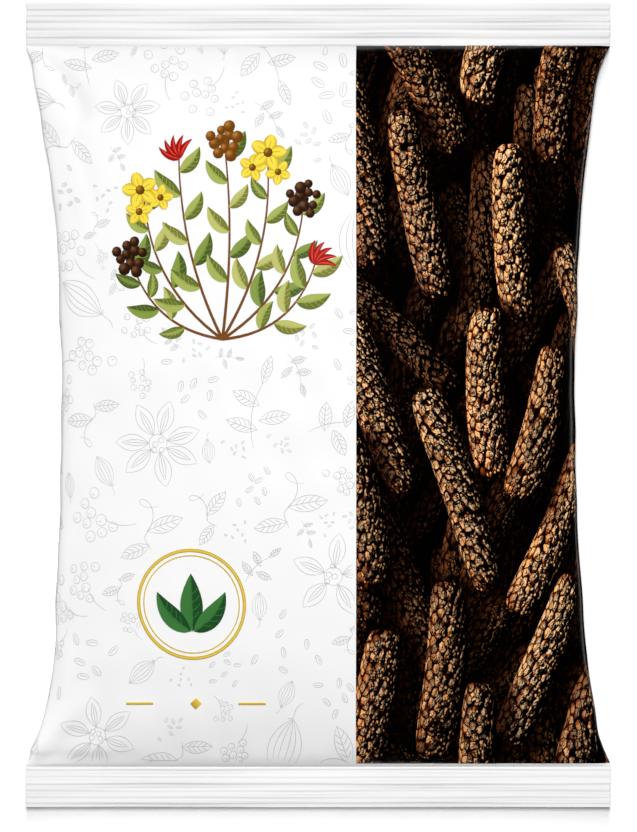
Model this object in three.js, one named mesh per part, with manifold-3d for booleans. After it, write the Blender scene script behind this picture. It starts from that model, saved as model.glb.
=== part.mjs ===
// A sealed pillow pouch of dried long pepper, lying on its back as a filled pouch lies on a table.
// One web of white film is folded round into a tube. Its two long edges meet in a fin seam down the
// back, and its two ends are crimped flat by ribbed jaws. Loose dried spikes lie inside it.
// Millimetres. X is across the pouch, +Y points to its top end and +Z is up, out of its front.
// The origin is under the pouch's middle, on the table.
import * as THREE from "three";
import { mergeVertices } from "three/addons/utils/BufferGeometryUtils.js";
import Module from "manifold-3d";

// The pouch from the outside.
const PACK_WIDTH = 122; // across a flat end seal
const PACK_LENGTH = 168; // between the two cut edges
const SEAL_DEPTH = 9; // how far a crimped end seal reaches in from its cut edge
const WAIST_WIDTH = 107; // the filling draws the sides in to this at mid length
const FRONT_CROWN = 16; // from the plane of the end seals up to the front
const BACK_BELLY = 13; // and down to the flat spot that the back rests on
const FULL_BELLY = 15; // the back's own roundness, before the table flattens it
const MOUTH_DEPTH = 1.6; // the body's own depth where it runs into a seal
const SECTION_POWER = 2.6; // 2 is an ellipse, and higher is squarer
const CROWN_POWER = 2.4; // how level the crown stays before it falls to a seal
const CROWN_FALL = 0.62; // how steeply it then falls
const FLARE_POWER = 2.2; // how late the sides swing out to the seals' full width
const FLARE_SHARE = 0.72; // the rest of the swing comes in the last few millimetres
const CORNER_POWER = 14; // and this late

// The film and its back seam.
const FILM_THICKNESS = 0.7; // real film is about 0.08, which is too thin for a solid
const FIN_WIDTH = 10;
const FIN_THICKNESS = 1.3; // two layers and the slit between them
const FIN_ROOT = 0.6; // from the fin's folded edge to the slit
const SLIT = 0.3; // the bond line, left open so that the inside isn't a sealed void
const SLIT_REACH = 58; // the slit's half length, clear of both end seals

// The crimp that the sealing jaws press into each end.
const RIBS = 7;
const RIB_HEIGHT = 0.35; // from the seal's middle plane to a rib's crest
const RIB_FLAT = 0.26; // the width of a crest or of a trough
const PRESSED_FIN = 0.8; // what the fin adds under a seal, where the jaws flatten it
const OVERLAP = 0.4; // how far one shape runs into the next where they are joined

// The filling: about 50 g of dried spikes.
const SPIKES = 42;
const SPIKE_LENGTHS = [32, 44];
const SPIKE_DIAMETERS = [7, 8.6];
const SPIKE_BEND = 1.2; // how far the middle of a spike stands off its chord
const SPIKE_SIDES = 10;
const SPIKE_RINGS = 10;
const GRAIN_HEIGHT = 0.3; // the fruitlets, as raised and sunk corners, larger than life
const TAPER = 0.14; // a spike's tip is this share thinner than its stalk end
const BLUNT_POWER = 4; // how blunt its ends are
const DIMPLE = 0.35; // the stalk's scar, as a share of the radius
const CLEARANCE = 0.45; // kept round every spike while the filling settles
const WALL_GAP = 0.3; // and kept off the film
const END_ROOM = 11; // the filling stays this far from the end seals, where the pouch is flat
const SEED = 20261;

// How finely the pouch is faceted.
const ROUND_STEPS = 32;
const LENGTH_STEPS = 20;

const FILM_COLOUR = 0xf4f4f2;
const SPIKE_COLOURS = [0x4a2c17, 0x5b381d, 0x3c2413];

const bodyHalf = PACK_LENGTH / 2 - SEAL_DEPTH;
const sealPlane = BACK_BELLY + FIN_THICKNESS;

// Seeded random numbers from 0 to 1, the same on every run.
function seeded(seed) {
  let state = seed;
  return () => {
    state = (state + 0x6d2b79f5) | 0;
    let mixed = Math.imul(state ^ (state >>> 15), 1 | state);
    mixed = (mixed + Math.imul(mixed ^ (mixed >>> 7), 61 | mixed)) ^ mixed;
    return ((mixed ^ (mixed >>> 14)) >>> 0) / 4294967296;
  };
}

// Half the pouch's width at a place along it.
function halfWidth(y) {
  const along = Math.min(1, Math.abs(y) / bodyHalf);
  const swing = FLARE_SHARE * along ** FLARE_POWER + (1 - FLARE_SHARE) * along ** CORNER_POWER;
  return WAIST_WIDTH / 2 + ((PACK_WIDTH - WAIST_WIDTH) / 2) * swing;
}

// How full the pouch stands at a place along it: 1 at mid length, 0 at an end seal.
function fullness(y) {
  const along = Math.min(1, Math.abs(y) / bodyHalf);
  return (1 - along ** CROWN_POWER) ** CROWN_FALL;
}

// How high the pouch stands over its seals' plane at mid width, and how far it hangs under it.
function crownHeight(y, inset) {
  return MOUTH_DEPTH / 2 + (FRONT_CROWN - MOUTH_DEPTH / 2) * fullness(y) - inset;
}
function bellyDepth(y, inset) {
  return MOUTH_DEPTH / 2 + (FULL_BELLY - MOUTH_DEPTH / 2) * fullness(y) - inset;
}

// One closed line round the pouch, as x and z. The inset brings it inside the film.
function ring(y, inset) {
  const points = [];
  for (let i = 0; i < ROUND_STEPS; i++) {
    const turn = (2 * Math.PI * (i + 0.5)) / ROUND_STEPS;
    const across = Math.sign(Math.cos(turn)) * Math.abs(Math.cos(turn)) ** (2 / SECTION_POWER);
    const up = Math.abs(Math.sin(turn)) ** (2 / SECTION_POWER);
    const z =
      Math.sin(turn) > 0
        ? crownHeight(y, inset) * up
        : -Math.min(bellyDepth(y, inset) * up, BACK_BELLY - inset);
    points.push([(halfWidth(y) - inset) * across, sealPlane + z]);
  }
  return points;
}

// A solid through a row of like outlines, each given as x and z at its own y, and capped at both ends.
function loft(stations) {
  const count = stations[0].outline.length;
  const positions = stations.flatMap(({ y, outline }) => outline.flatMap(([x, z]) => [x, y, z]));
  const faces = [];
  for (let s = 0; s + 1 < stations.length; s++)
    for (let i = 0; i < count; i++) {
      const a = s * count + i;
      const b = s * count + ((i + 1) % count);
      faces.push(a, b, b + count, a, b + count, a + count);
    }
  const flat = stations[0].outline.map(([x, z]) => new THREE.Vector2(x, z));
  const last = (stations.length - 1) * count;
  for (const [a, b, c] of THREE.ShapeUtils.triangulateShape(flat, []))
    faces.push(a, c, b, last + a, last + b, last + c);
  const geometry = new THREE.BufferGeometry();
  geometry.setAttribute("position", new THREE.Float32BufferAttribute(positions, 3));
  geometry.setIndex(faces);
  return geometry;
}

const wasm = await Module();
wasm.setup();

// A geometry as a solid that can be joined and cut. One whose faces point inwards is turned round.
function solid(geometry) {
  const bare = geometry.clone();
  bare.deleteAttribute("normal");
  bare.deleteAttribute("uv");
  const merged = mergeVertices(bare, 1e-4);
  const vertProperties = Float32Array.from(merged.attributes.position.array);
  const triVerts = Uint32Array.from(merged.index.array);
  const made = new wasm.Manifold(new wasm.Mesh({ numProp: 3, vertProperties, triVerts }));
  if (made.volume() >= 0) return made;
  return new wasm.Manifold(
    new wasm.Mesh({ numProp: 3, vertProperties, triVerts: triVerts.reverse() }),
  );
}

// A solid back as a geometry.
function geometryOf(made) {
  const { vertProperties, triVerts } = made.getMesh();
  const geometry = new THREE.BufferGeometry();
  geometry.setAttribute("position", new THREE.BufferAttribute(vertProperties, 3));
  geometry.setIndex(new THREE.BufferAttribute(triVerts, 1));
  return geometry;
}

// Places along the body from one end seal to the other, closer together near the seals.
function stationsAlong(half) {
  return Array.from({ length: LENGTH_STEPS + 1 }, (_, i) =>
    half * Math.sin((Math.PI / 2) * ((2 * i) / LENGTH_STEPS - 1)),
  );
}

// The outer skin, or with an inset the hollow inside it, which ends where the layers meet.
function pillow(inset) {
  return solid(
    loft(stationsAlong(bodyHalf - inset).map((y) => ({ y, outline: ring(y, inset) }))),
  );
}

// Film pressed into ribs, from just inside the body to the cut edge: a strip across the pouch,
// between two heights off the seal's middle plane.
function ribbedStrip(side, width, bottom, top) {
  const half = SEAL_DEPTH / RIBS / 2;
  const wave = [[bodyHalf - OVERLAP, 0]];
  for (let k = 1; k < 2 * RIBS; k++) {
    const lift = k % 2 ? RIB_HEIGHT : -RIB_HEIGHT;
    wave.push([bodyHalf + half * k - RIB_FLAT / 2, lift], [bodyHalf + half * k + RIB_FLAT / 2, lift]);
  }
  wave.push([PACK_LENGTH / 2, 0]);
  const layer = (height) => wave.map(([y, z]) => new THREE.Vector2(side * y, z + height));
  const section = new THREE.Shape([...layer(top), ...layer(bottom).reverse()]);
  const strip = new THREE.ExtrudeGeometry(section, { depth: width, bevelEnabled: false });
  // The section's own x and y become the pouch's y and z, and the extrusion runs along x.
  const turned = new THREE.Matrix4().makeBasis(
    new THREE.Vector3(0, 1, 0),
    new THREE.Vector3(0, 0, 1),
    new THREE.Vector3(1, 0, 0),
  );
  strip.applyMatrix4(turned).translate(-width / 2, 0, sealPlane);
  return solid(strip);
}

// One end seal: both layers across the whole pouch, and the fin's two more layers at mid width.
function endSeal(side) {
  const layers = ribbedStrip(side, PACK_WIDTH, -FILM_THICKNESS, FILM_THICKNESS);
  return layers.add(ribbedStrip(side, FIN_WIDTH, -FILM_THICKNESS - PRESSED_FIN, 0));
}

// Where the back's outside lies at mid width.
function backAt(y) {
  return sealPlane - Math.min(bellyDepth(y, 0), BACK_BELLY);
}

// The fin seam: both edges of the web, inside to inside, folded flat along the back.
function fin() {
  const half = FIN_WIDTH / 2;
  const sections = stationsAlong(bodyHalf).map((y) => {
    const [low, high] = [backAt(y) - FIN_THICKNESS, backAt(y) + OVERLAP];
    return { y, outline: [[-half, low], [half, low], [half, high], [-half, high]] };
  });
  return solid(loft(sections));
}

// The bond line between the fin's two layers, and the fold at its root that leads to the inside.
function finSlit() {
  const root = -FIN_WIDTH / 2 + FIN_ROOT;
  const free = FIN_WIDTH / 2 + OVERLAP;
  const sections = stationsAlong(SLIT_REACH).map((y) => {
    const middle = backAt(y) - FIN_THICKNESS / 2;
    const [low, high] = [middle - SLIT / 2, middle + SLIT / 2];
    const inside = backAt(y) + FILM_THICKNESS + OVERLAP;
    const lip = [[root, low], [free, low], [free, high]];
    return { y, outline: [...lip, [root + SLIT, high], [root + SLIT, inside], [root, inside]] };
  });
  return solid(loft(sections));
}

function filmPouch() {
  const skin = pillow(0).add(endSeal(1)).add(endSeal(-1)).add(fin());
  const hollow = pillow(FILM_THICKNESS).add(finSlit());
  return new THREE.Mesh(
    geometryOf(skin.subtract(hollow)),
    new THREE.MeshStandardMaterial({ color: FILM_COLOUR, roughness: 0.28, metalness: 0 }),
  );
}

// One dried spike, standing along Y about its middle: a blunt, slightly bent rod whose surface is
// set with fruitlets, a raised corner beside a sunk one all round it, and a dimple at its stalk end.
function spikeGeometry({ length, radius, bend }) {
  const profile = [new THREE.Vector2(0, DIMPLE * radius - length / 2)];
  for (let j = 1; j <= SPIKE_RINGS; j++) {
    const along = -Math.cos((Math.PI * j) / (SPIKE_RINGS + 1));
    const blunt = (1 - Math.abs(along) ** BLUNT_POWER) ** (1 / BLUNT_POWER);
    const taper = 1 - (TAPER * (1 + along)) / 2;
    profile.push(new THREE.Vector2(radius * blunt * taper, (along * length) / 2));
  }
  profile.push(new THREE.Vector2(0, length / 2));
  const lathe = new THREE.LatheGeometry(profile, SPIKE_SIDES);
  const place = lathe.getAttribute("position");
  const rows = profile.length;
  for (let v = 0; v < place.count; v++) {
    const [side, row] = [Math.floor(v / rows) % SPIKE_SIDES, v % rows];
    const inner = row > 0 && row < rows - 1;
    const [x, y, z] = [place.getX(v), place.getY(v), place.getZ(v)];
    const grain = (side + row) % 2 ? GRAIN_HEIGHT : -GRAIN_HEIGHT;
    const grow = inner ? 1 + grain / Math.hypot(x, z) : 1;
    // Half of the bow lies on either side of the chord's middle.
    const bow = bend * (1 / 2 - ((2 * y) / length) ** 2);
    place.setXYZ(v, x * grow + bow, y, z * grow);
  }
  return lathe;
}

// The inside of the pouch as rules on a point: its roof, its floor, its sides and its ends. A rule
// gives how far inside the point is and the way to push it back.
function walls(point, keep) {
  const { x, y, z } = point;
  const reach = bodyHalf - END_ROOM - keep;
  const inset = FILM_THICKNESS + WALL_GAP;
  const height = (px, py, front) => {
    const share = Math.min(1, Math.abs(px) / (halfWidth(py) - inset));
    const up = (1 - share ** SECTION_POWER) ** (1 / SECTION_POWER);
    return front > 0
      ? sealPlane + crownHeight(py, inset) * up
      : sealPlane - Math.min(bellyDepth(py, inset) * up, BACK_BELLY - inset);
  };
  const found = [];
  for (const front of [1, -1]) {
    // The slope is read half a millimetre to either side.
    const slope = new THREE.Vector3(
      height(x + 0.5, y, front) - height(x - 0.5, y, front),
      height(x, y + 0.5, front) - height(x, y - 0.5, front),
      -1,
    );
    const steep = slope.length();
    found.push({
      depth: (front * (height(x, y, front) - z)) / steep - keep,
      push: slope.multiplyScalar(front / steep),
    });
  }
  const breadth = halfWidth(y) - inset - keep;
  found.push({ depth: breadth - Math.abs(x), push: new THREE.Vector3(-Math.sign(x), 0, 0) });
  found.push({ depth: reach - Math.abs(y), push: new THREE.Vector3(0, -Math.sign(y), 0) });
  return found;
}

// The nearest points of two rods, as shares along each from its first end to its second.
function nearest(a, b) {
  const u = b.tail.clone().sub(b.head);
  const v = a.tail.clone().sub(a.head);
  const gap = a.head.clone().sub(b.head);
  const [vv, uu, uv, vg, ug] = [v.dot(v), u.dot(u), u.dot(v), v.dot(gap), u.dot(gap)];
  const flat = vv * uu - uv * uv;
  // Rods that lie parallel have no one nearest point, and their middles do as well as any.
  let s = flat > 1e-9 ? THREE.MathUtils.clamp((uv * ug - uu * vg) / flat, 0, 1) : 1 / 2;
  const t = THREE.MathUtils.clamp((uv * s + ug) / uu, 0, 1);
  s = THREE.MathUtils.clamp((uv * t - vg) / vv, 0, 1);
  return [s, t];
}

// Moves a rod's two ends so that the point at share s along it shifts by the way given.
function shove(rod, s, way) {
  const weight = 1 / ((1 - s) ** 2 + s ** 2);
  rod.head.addScaledVector(way, (1 - s) * weight);
  rod.tail.addScaledVector(way, s * weight);
}

// Where the spikes are first strewn, off the pouch's middle, and how far each may tip; how many steps
// they grow for, sink for and take in all; their first share of their thickness; and how far they sink
// in a step.
const STREWN = { across: 35, along: 57, low: -7.8, high: 3.9, tilt: 0.15 };
const STEPS = { growing: 700, sinking: 1500, all: 2100 };
const START_SHARE = 0.25;
const SINK = 0.03;

// Settles the spikes in the pouch as rods with round ends. They start thin and grow to their own
// thickness while they sink and push each other apart, so that none is left inside another.
function settle(spikes, random) {
  const between = (low, high) => low + (high - low) * random();
  const { across, along, low, high, tilt } = STREWN;
  for (const spike of spikes) {
    const heading = between(0, 2 * Math.PI);
    const way = new THREE.Vector3(Math.cos(heading), Math.sin(heading), between(-tilt, tilt));
    const middle = new THREE.Vector3(
      between(-across, across),
      between(-along, along),
      sealPlane + between(low, high),
    );
    spike.half = spike.length / 2 - spike.radius;
    spike.head = middle.clone().addScaledVector(way.normalize(), -spike.half);
    spike.tail = middle.clone().addScaledVector(way, spike.half);
  }
  for (let step = 0; step < STEPS.all; step++) {
    const grown = Math.min(1, START_SHARE + ((1 - START_SHARE) * step) / STEPS.growing);
    const sink = step < STEPS.sinking ? SINK : 0;
    for (const spike of spikes) {
      spike.keep = (spike.radius + GRAIN_HEIGHT + SPIKE_BEND / 2 + CLEARANCE) * grown;
      spike.head.z -= sink;
      spike.tail.z -= sink;
    }
    for (let i = 0; i < spikes.length; i++)
      for (let j = i + 1; j < spikes.length; j++) {
        const [a, b] = [spikes[i], spikes[j]];
        const [s, t] = nearest(a, b);
        const apart = a.head.clone().lerp(a.tail, s).sub(b.head.clone().lerp(b.tail, t));
        const short = a.keep + b.keep - apart.length();
        if (short <= 0) continue;
        apart.setLength(short / 2);
        shove(a, s, apart);
        shove(b, t, apart.negate());
      }
    for (const spike of spikes) {
      for (const s of [0, 1 / 4, 1 / 2, 3 / 4, 1]) {
        const point = spike.head.clone().lerp(spike.tail, s);
        for (const { depth, push } of walls(point, spike.keep))
          if (depth < 0) shove(spike, s, push.clone().multiplyScalar(-depth));
      }
      const middle = spike.head.clone().lerp(spike.tail, 1 / 2);
      const reach = spike.tail.clone().sub(spike.head).setLength(spike.half);
      spike.head.copy(middle).sub(reach);
      spike.tail.copy(middle).add(reach);
    }
  }
}

function filling() {
  const random = seeded(SEED);
  const between = ([low, high]) => low + (high - low) * random();
  const spikes = Array.from({ length: SPIKES }, () => ({
    length: between(SPIKE_LENGTHS),
    radius: between(SPIKE_DIAMETERS) / 2,
    bend: SPIKE_BEND * random(),
  }));
  settle(spikes, random);
  return spikes.map((spike, i) => {
    const mesh = new THREE.Mesh(
      spikeGeometry(spike),
      new THREE.MeshStandardMaterial({
        color: SPIKE_COLOURS[i % SPIKE_COLOURS.length],
        roughness: 0.8,
        metalness: 0,
      }),
    );
    mesh.name = `spike_${String(i + 1).padStart(2, "0")}`;
    const way = spike.tail.clone().sub(spike.head).normalize();
    mesh.position.copy(spike.head).lerp(spike.tail, 1 / 2);
    mesh.quaternion.setFromUnitVectors(new THREE.Vector3(0, 1, 0), way);
    return mesh;
  });
}

const pouch = filmPouch();
pouch.name = "pouch_film";

const packet = new THREE.Group();
packet.add(pouch, ...filling());

export default packet;
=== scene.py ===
# %% [markdown]
# # A sealed pouch of dried long pepper
# The object is a filled pillow pouch: one web of glossy white film, printed flat, folded round into
# a tube, seamed down its back and crimped shut at both ends. Loose dried spikes lie inside. It rests
# on its back, as a filled pouch rests on a table, and the camera looks straight down at its front.
# The solid comes first. It is the fixed frame that every piece below is fitted to.

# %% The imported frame
import math

import bpy
import numpy as np
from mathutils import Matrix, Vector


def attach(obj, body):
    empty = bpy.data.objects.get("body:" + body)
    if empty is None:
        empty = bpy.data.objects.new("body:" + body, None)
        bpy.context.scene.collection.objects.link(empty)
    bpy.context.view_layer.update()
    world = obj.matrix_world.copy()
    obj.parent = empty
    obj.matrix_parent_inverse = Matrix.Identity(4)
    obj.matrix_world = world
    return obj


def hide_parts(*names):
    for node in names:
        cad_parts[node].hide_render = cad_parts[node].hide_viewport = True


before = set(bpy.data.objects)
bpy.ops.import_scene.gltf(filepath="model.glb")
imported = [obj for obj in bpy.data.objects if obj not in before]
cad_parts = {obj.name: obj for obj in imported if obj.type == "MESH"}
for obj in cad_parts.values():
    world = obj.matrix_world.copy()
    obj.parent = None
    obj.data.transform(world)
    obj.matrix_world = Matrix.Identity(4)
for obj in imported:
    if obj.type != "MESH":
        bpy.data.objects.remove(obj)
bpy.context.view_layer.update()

# %% [markdown]
# ## Sizes
# All shapes are worked out in millimetres and turned to metres when they become a mesh. These are
# the solid's own sizes: the seals' full width, the length between the cut edges, the narrower waist
# that the filling draws the film in to, and how far the front and the back stand off the plane of
# the end seals.

# %% Sizes in millimetres
MM = 0.001
PACK_WIDTH, PACK_LENGTH = 122.0, 168.0
SEAL_DEPTH = 9.0
BODY_HALF = PACK_LENGTH / 2 - SEAL_DEPTH
WAIST_WIDTH = 107.0
SEAL_PLANE = 14.3
FRONT_CROWN, BACK_BELLY, FULL_BELLY = 16.0, 13.85, 15.5
HALF_SEAL = 0.15  # half the thickness of the two bonded layers
SECTION_POWER, CROWN_POWER, CROWN_FALL = 2.6, 2.4, 0.62
FLARE_POWER, FLARE_SHARE, CORNER_POWER = 2.2, 0.72, 14
QUARTER = PACK_WIDTH / 2  # a quarter of the girth: the film doesn't stretch
print("body length", 2 * BODY_HALF, "girth", 4 * QUARTER)

# %% [markdown]
# ## The camera
# The photograph looks straight at the front with no visible perspective, so the camera stands two
# metres off with a long lens. The frame is 637 by 832 pixels, and the pouch's 168 mm take up 805 of
# them, which gives 0.2087 mm to a pixel.

# %% The camera
PIXEL = 0.2087
DISTANCE = 2.0
lens = bpy.data.cameras.new("long_lens")
lens.sensor_width = 36
lens.lens = 36 * DISTANCE / (832 * PIXEL * MM)
camera = bpy.data.objects.new("camera", lens)
camera.location = (0.0001, -0.0024, SEAL_PLANE * MM + DISTANCE)
bpy.context.collection.objects.link(camera)
bpy.context.scene.camera = camera
print("lens in mm:", round(lens.lens))

# %% [markdown]
# ## The shape of a filled pouch
# Film bends easily and doesn't stretch. A flat tube that is filled therefore keeps its girth, and
# its width shrinks as it gets thicker. The width is full at the seals and least at mid length, and
# the section is a flattened oval, a little squarer than an ellipse. A cloth simulation could blow
# the tube up. This pouch is nearly smooth, and formulas for its width and its fullness can be
# matched to it by measure, so it is made with them.

# %% Width and fullness along the pouch
def half_width(y):
    along = np.minimum(1, np.abs(y) / BODY_HALF)
    swing = FLARE_SHARE * along**FLARE_POWER + (1 - FLARE_SHARE) * along**CORNER_POWER
    return WAIST_WIDTH / 2 + (PACK_WIDTH - WAIST_WIDTH) / 2 * swing


def fullness(y):
    # At the bottom the film comes down on the seal half a millimetre later than at the top.
    along = np.minimum(1, np.abs(y) / np.where(y < 0, BODY_HALF + 0.5, BODY_HALF))
    return (1 - along**CROWN_POWER) ** CROWN_FALL


for place in (0, 40, 70, 75):
    width, full = float(half_width(place)), float(fullness(place))
    print("at", place, "half width", round(width, 1), "full", round(full, 2))


# %% The left side
# Low down the left side lies nearer to the middle than the right one, and high up farther out.
LOW_IN, LOW_AT = 0.9, -53
HIGH_OUT, HIGH_AT = 0.7, 57
LEFT_SPREAD = 12


def left_drawn_in(y):
    low = LOW_IN * np.exp(-(((y - LOW_AT) / LEFT_SPREAD) ** 2))
    high = HIGH_OUT * np.exp(-(((y - HIGH_AT) / LEFT_SPREAD) ** 2))
    return low - high


print("drawn in, mm:", [round(float(left_drawn_in(place)), 1) for place in (LOW_AT, HIGH_AT)])

# %% [markdown]
# ## Where the flat web goes
# The web is printed flat, so every printed thing has a place on the flat web: `s` millimetres round
# from the middle of the front, and `y` along. Here that place is turned into a point of the filled
# pouch, by walking the same share of the way round the section. A table of points is made once, and
# both the film and its print are laid on it. The print could also be projected on the finished
# pouch from the front, but it would be stretched where the sides turn away.

# %% One quarter of a section, walked in equal steps
def quarter_walk(width, depth, limit, shares):
    turn = np.linspace(0, math.pi / 2, 500)
    x = width * np.sin(turn) ** (2 / SECTION_POWER)
    z = np.minimum(depth * np.cos(turn) ** (2 / SECTION_POWER), limit)
    walked = np.concatenate([[0], np.cumsum(np.hypot(np.diff(x), np.diff(z)))])
    walked /= walked[-1]
    return np.interp(shares, walked, x), np.interp(shares, walked, z)


halfway_round = quarter_walk(WAIST_WIDTH / 2, FRONT_CROWN, FRONT_CROWN, 0.5)
print("half of the way round the front's right is at", np.round(halfway_round, 1).tolist())

# %% Rows and columns of the web
RIB_ROWS = 60
seal_rows = BODY_HALF + SEAL_DEPTH * np.arange(1, RIB_ROWS + 1) / RIB_ROWS
# The body's rows close up where it falls steeply to the seals.
steep_rows = BODY_HALF - np.array([4.5, 3.5, 3, 2.5, 2, 1.6, 1.2, 0.9, 0.6, 0.4, 0.2, 0.1])
half_rows = np.sort(np.concatenate([np.arange(1, 71), steep_rows, [BODY_HALF], seal_rows]))
ROWS = np.concatenate([-half_rows[::-1], [0], half_rows])
COLUMNS = np.arange(-2 * QUARTER, 2 * QUARTER + 0.5, 1.0)
print(len(ROWS), "rows by", len(COLUMNS), "columns")

# %% [markdown]
# ## Crimped ends
# The sealing jaws press both layers into the same fine ribs. Seen from the front each rib is a flat
# white band with a thin dark groove beside it. No two grooves are quite alike: they wander a little
# and are pressed deeper in one place than in the next. The cut sides swell a little at each rib and
# are drawn in at each groove, so they look toothed. A bump in the finish could draw the grooves but
# not the toothed sides, so they are in the mesh.

# %% Grooves of the crimp
EDGE_SWELL, RIB_SWELL, RIB_PITCH = 0.09, 0.12, 1.45
# The grooves' distances from the body, in millimetres: at the bottom end, then at the top.
GROOVES_AT = ((1.4, 2.9, 4.4, 5.8, 7.2, 8.4), (0.15, 1.6, 3.3, 4.8, 6.1, 7.4))
dice = np.random.default_rng(7)
groove_phase = dice.uniform(0, 2 * math.pi, (2, 6, 3))
groove_strength = dice.uniform(0.45, 1.0, (2, 6)) * [[1.0], [1.25]]
# Depth and half width of a groove, of the fainter line beside it and of the hollow between two.
GROOVE, BESIDE, HOLLOW = (0.4, 0.24), (0.14, 0.16), (0.15, 0.42)
print("grooves at an end:", len(GROOVES_AT[0]))


# %% How deep they press
def crimp(s, y):
    """How deep the grooves press at a place on the web, from 0 to about 0.4 mm."""
    pressed = np.zeros(np.broadcast(s, y).shape)
    for end, side in enumerate((-1, 1)):
        for k, distance in enumerate(GROOVES_AT[end]):
            a, b, c = groove_phase[end, k]
            wander = 0.07 * np.sin(s / 17 + a) + 0.04 * np.sin(s / 5.3 + b)
            middle = BODY_HALF + distance + wander
            strength = groove_strength[end, k] * (0.8 + 0.2 * np.sin(s / 9 + c))
            beside = middle + 0.5 + 0.12 * np.sin(s / 11 + c)
            hollow = middle + 0.8 + 0.15 * np.sin(s / 23 + b)
            for at, (depth, width) in ((middle, GROOVE), (beside, BESIDE), (hollow, HOLLOW)):
                pressed += depth * strength * np.exp(-(((side * y - at) / width) ** 2))
    return pressed


print("middle of the second groove at the top, mm:", round(float(crimp(0, BODY_HALF + 1.6)), 2))

# %% [markdown]
# ## Soft folds
# Where the full body runs into a flat seal there is too much film for the shape, and it gathers into
# soft folds. They run in slantwise from the corners, and low waves run on down the sides. Each fold
# here is a line on the web with a width and a depth: a dent along the line and a low swelling
# beside it. They could be sculpted by hand, but in a list each one can be moved by a millimetre.

# %% Folds on the web
# Start and end of the line (s, y), width and depth, in millimetres. Below zero the line is a ridge.
FOLDS = [
    ((-59, 74), (-47.5, 59), 3.0, 1.9), ((-42, 75), (-31, 65), 2.6, 0.35),
    ((-57, 60), (-51, 34), 2.0, 0.45), ((-53, 62), (-45, 32), 2.2, 0.55),
    ((-59.5, -70), (-55, -42), 2.8, 0.6), ((-61, -75), (-48, -59), 2.2, -0.7),
    ((-66, -71.6), (-36, -71.6), 2.1, -0.45), ((-56, -50), (-50, -14), 2.6, 0.5),
    ((-30, 75), (-26, 66), 2.2, 0.45),
    ((60, 72), (43, 51), 3.2, 1.1), ((54, 75), (48, 58), 2.2, 0.6), ((58, 60), (51, 14), 2.6, 0.5),
    ((60, -71), (46, -48), 3.0, 1.1), ((53, -75), (45, -60), 2.4, 0.6), ((58, -52), (51, -10), 2.6, 0.5),
    ((-66, 71), (-84, 50), 4.0, 1.0), ((-70, -71), (-86, -48), 4.0, 0.9), ((66, 71), (85, 52), 4.0, 0.9),
    ((68, -71), (86, -50), 4.0, 1.0), ((95, 74), (99, 60), 3.0, 0.6), ((-97, -74), (-102, -58), 3.0, 0.6),
]
print("folds:", len(FOLDS))

# %% Waves and pleats
wave_dice = np.random.default_rng(11)
# Low waves have a length, a heading and a phase; the short pleats at the seals a length and a phase.
WAVES = [wave_dice.uniform((9, 0, 0), (34, math.pi, 6.3)) for _ in range(9)]
PLEATS = [wave_dice.uniform((3.5, 0), (9, 6.3)) for _ in range(5)]
WAVE_HEIGHT, PLEAT_HEIGHT, PLEAT_REACH = 0.045, 0.07, 5
print("longest wave, mm:", round(float(max(wave for wave, _, _ in WAVES)), 1))


# %% How far the film stands out
def folds(s, y):
    """How far the film stands out (or in, below zero) at a place on the web."""
    out = np.zeros(np.broadcast(s, y).shape)
    for start, end, width, depth in FOLDS:
        line = np.subtract(end, start)
        length = np.hypot(*line)
        along = ((s - start[0]) * line[0] + (y - start[1]) * line[1]) / length**2
        off = ((s - start[0]) * line[1] - (y - start[1]) * line[0]) / length / width
        taper = np.sin(math.pi * np.clip(along, 0, 1)) ** 0.8
        out += depth * taper * (0.55 * np.exp(-((off - 1.5) ** 2)) - np.exp(-(off**2)))
    for wave, heading, phase in WAVES:
        walked = s * np.cos(heading) + y * np.sin(heading)
        out += WAVE_HEIGHT * np.sin(2 * math.pi * walked / wave + phase)
    from_seal = BODY_HALF - np.abs(y)
    for wave, phase in PLEATS:
        near_seal = np.exp(-from_seal / PLEAT_REACH)
        out += PLEAT_HEIGHT * np.sin(2 * math.pi * s / wave + phase + np.sign(y)) * near_seal
    return out * np.clip(from_seal / 2.5, 0, 1)


print("in the top left corner's dent, mm:", round(float(folds(-53, 66)), 2))


# %% The way that the film faces
def facing_out(points):
    normals = np.cross(np.gradient(points, axis=1), np.gradient(points, axis=0))
    return normals / np.linalg.norm(normals, axis=2, keepdims=True)


# %% The table of points and normals
def web_table():
    points = np.zeros((len(ROWS), len(COLUMNS), 3))
    on_front = np.abs(COLUMNS) <= QUARTER
    share = np.where(on_front, np.abs(COLUMNS), 2 * QUARTER - np.abs(COLUMNS)) / QUARTER
    for r, y in enumerate(ROWS):
        full, width = fullness(y), half_width(y)
        front = quarter_walk(width, HALF_SEAL + (FRONT_CROWN - HALF_SEAL) * full, FRONT_CROWN, share)
        back = quarter_walk(width, HALF_SEAL + (FULL_BELLY - HALF_SEAL) * full, BACK_BELLY, share)
        x = np.where(on_front, front[0], back[0]) * np.sign(COLUMNS)
        x = np.where(x < 0, x * (1 - left_drawn_in(y) / width), x)
        z = np.where(on_front, front[1], -back[1])
        pressed = crimp(x, np.full_like(x, y))
        # The cut sides swell a little at each rib, and are drawn in at each groove.
        swell = 0
        if abs(y) > BODY_HALF:
            swell = EDGE_SWELL + RIB_SWELL * math.cos(2 * math.pi * (abs(y) - BODY_HALF) / RIB_PITCH)
        tooth = 1 + (swell - 1.1 * pressed) / QUARTER * (np.abs(x) / QUARTER) ** 12
        points[r] = np.stack([x * tooth, np.full_like(x, y), SEAL_PLANE + z - pressed], axis=1)
    s, y = np.meshgrid(COLUMNS, ROWS)
    points += facing_out(points) * folds(s, y)[..., None]
    points[..., 2] = np.maximum(points[..., 2], SEAL_PLANE - BACK_BELLY)
    return points


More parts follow.
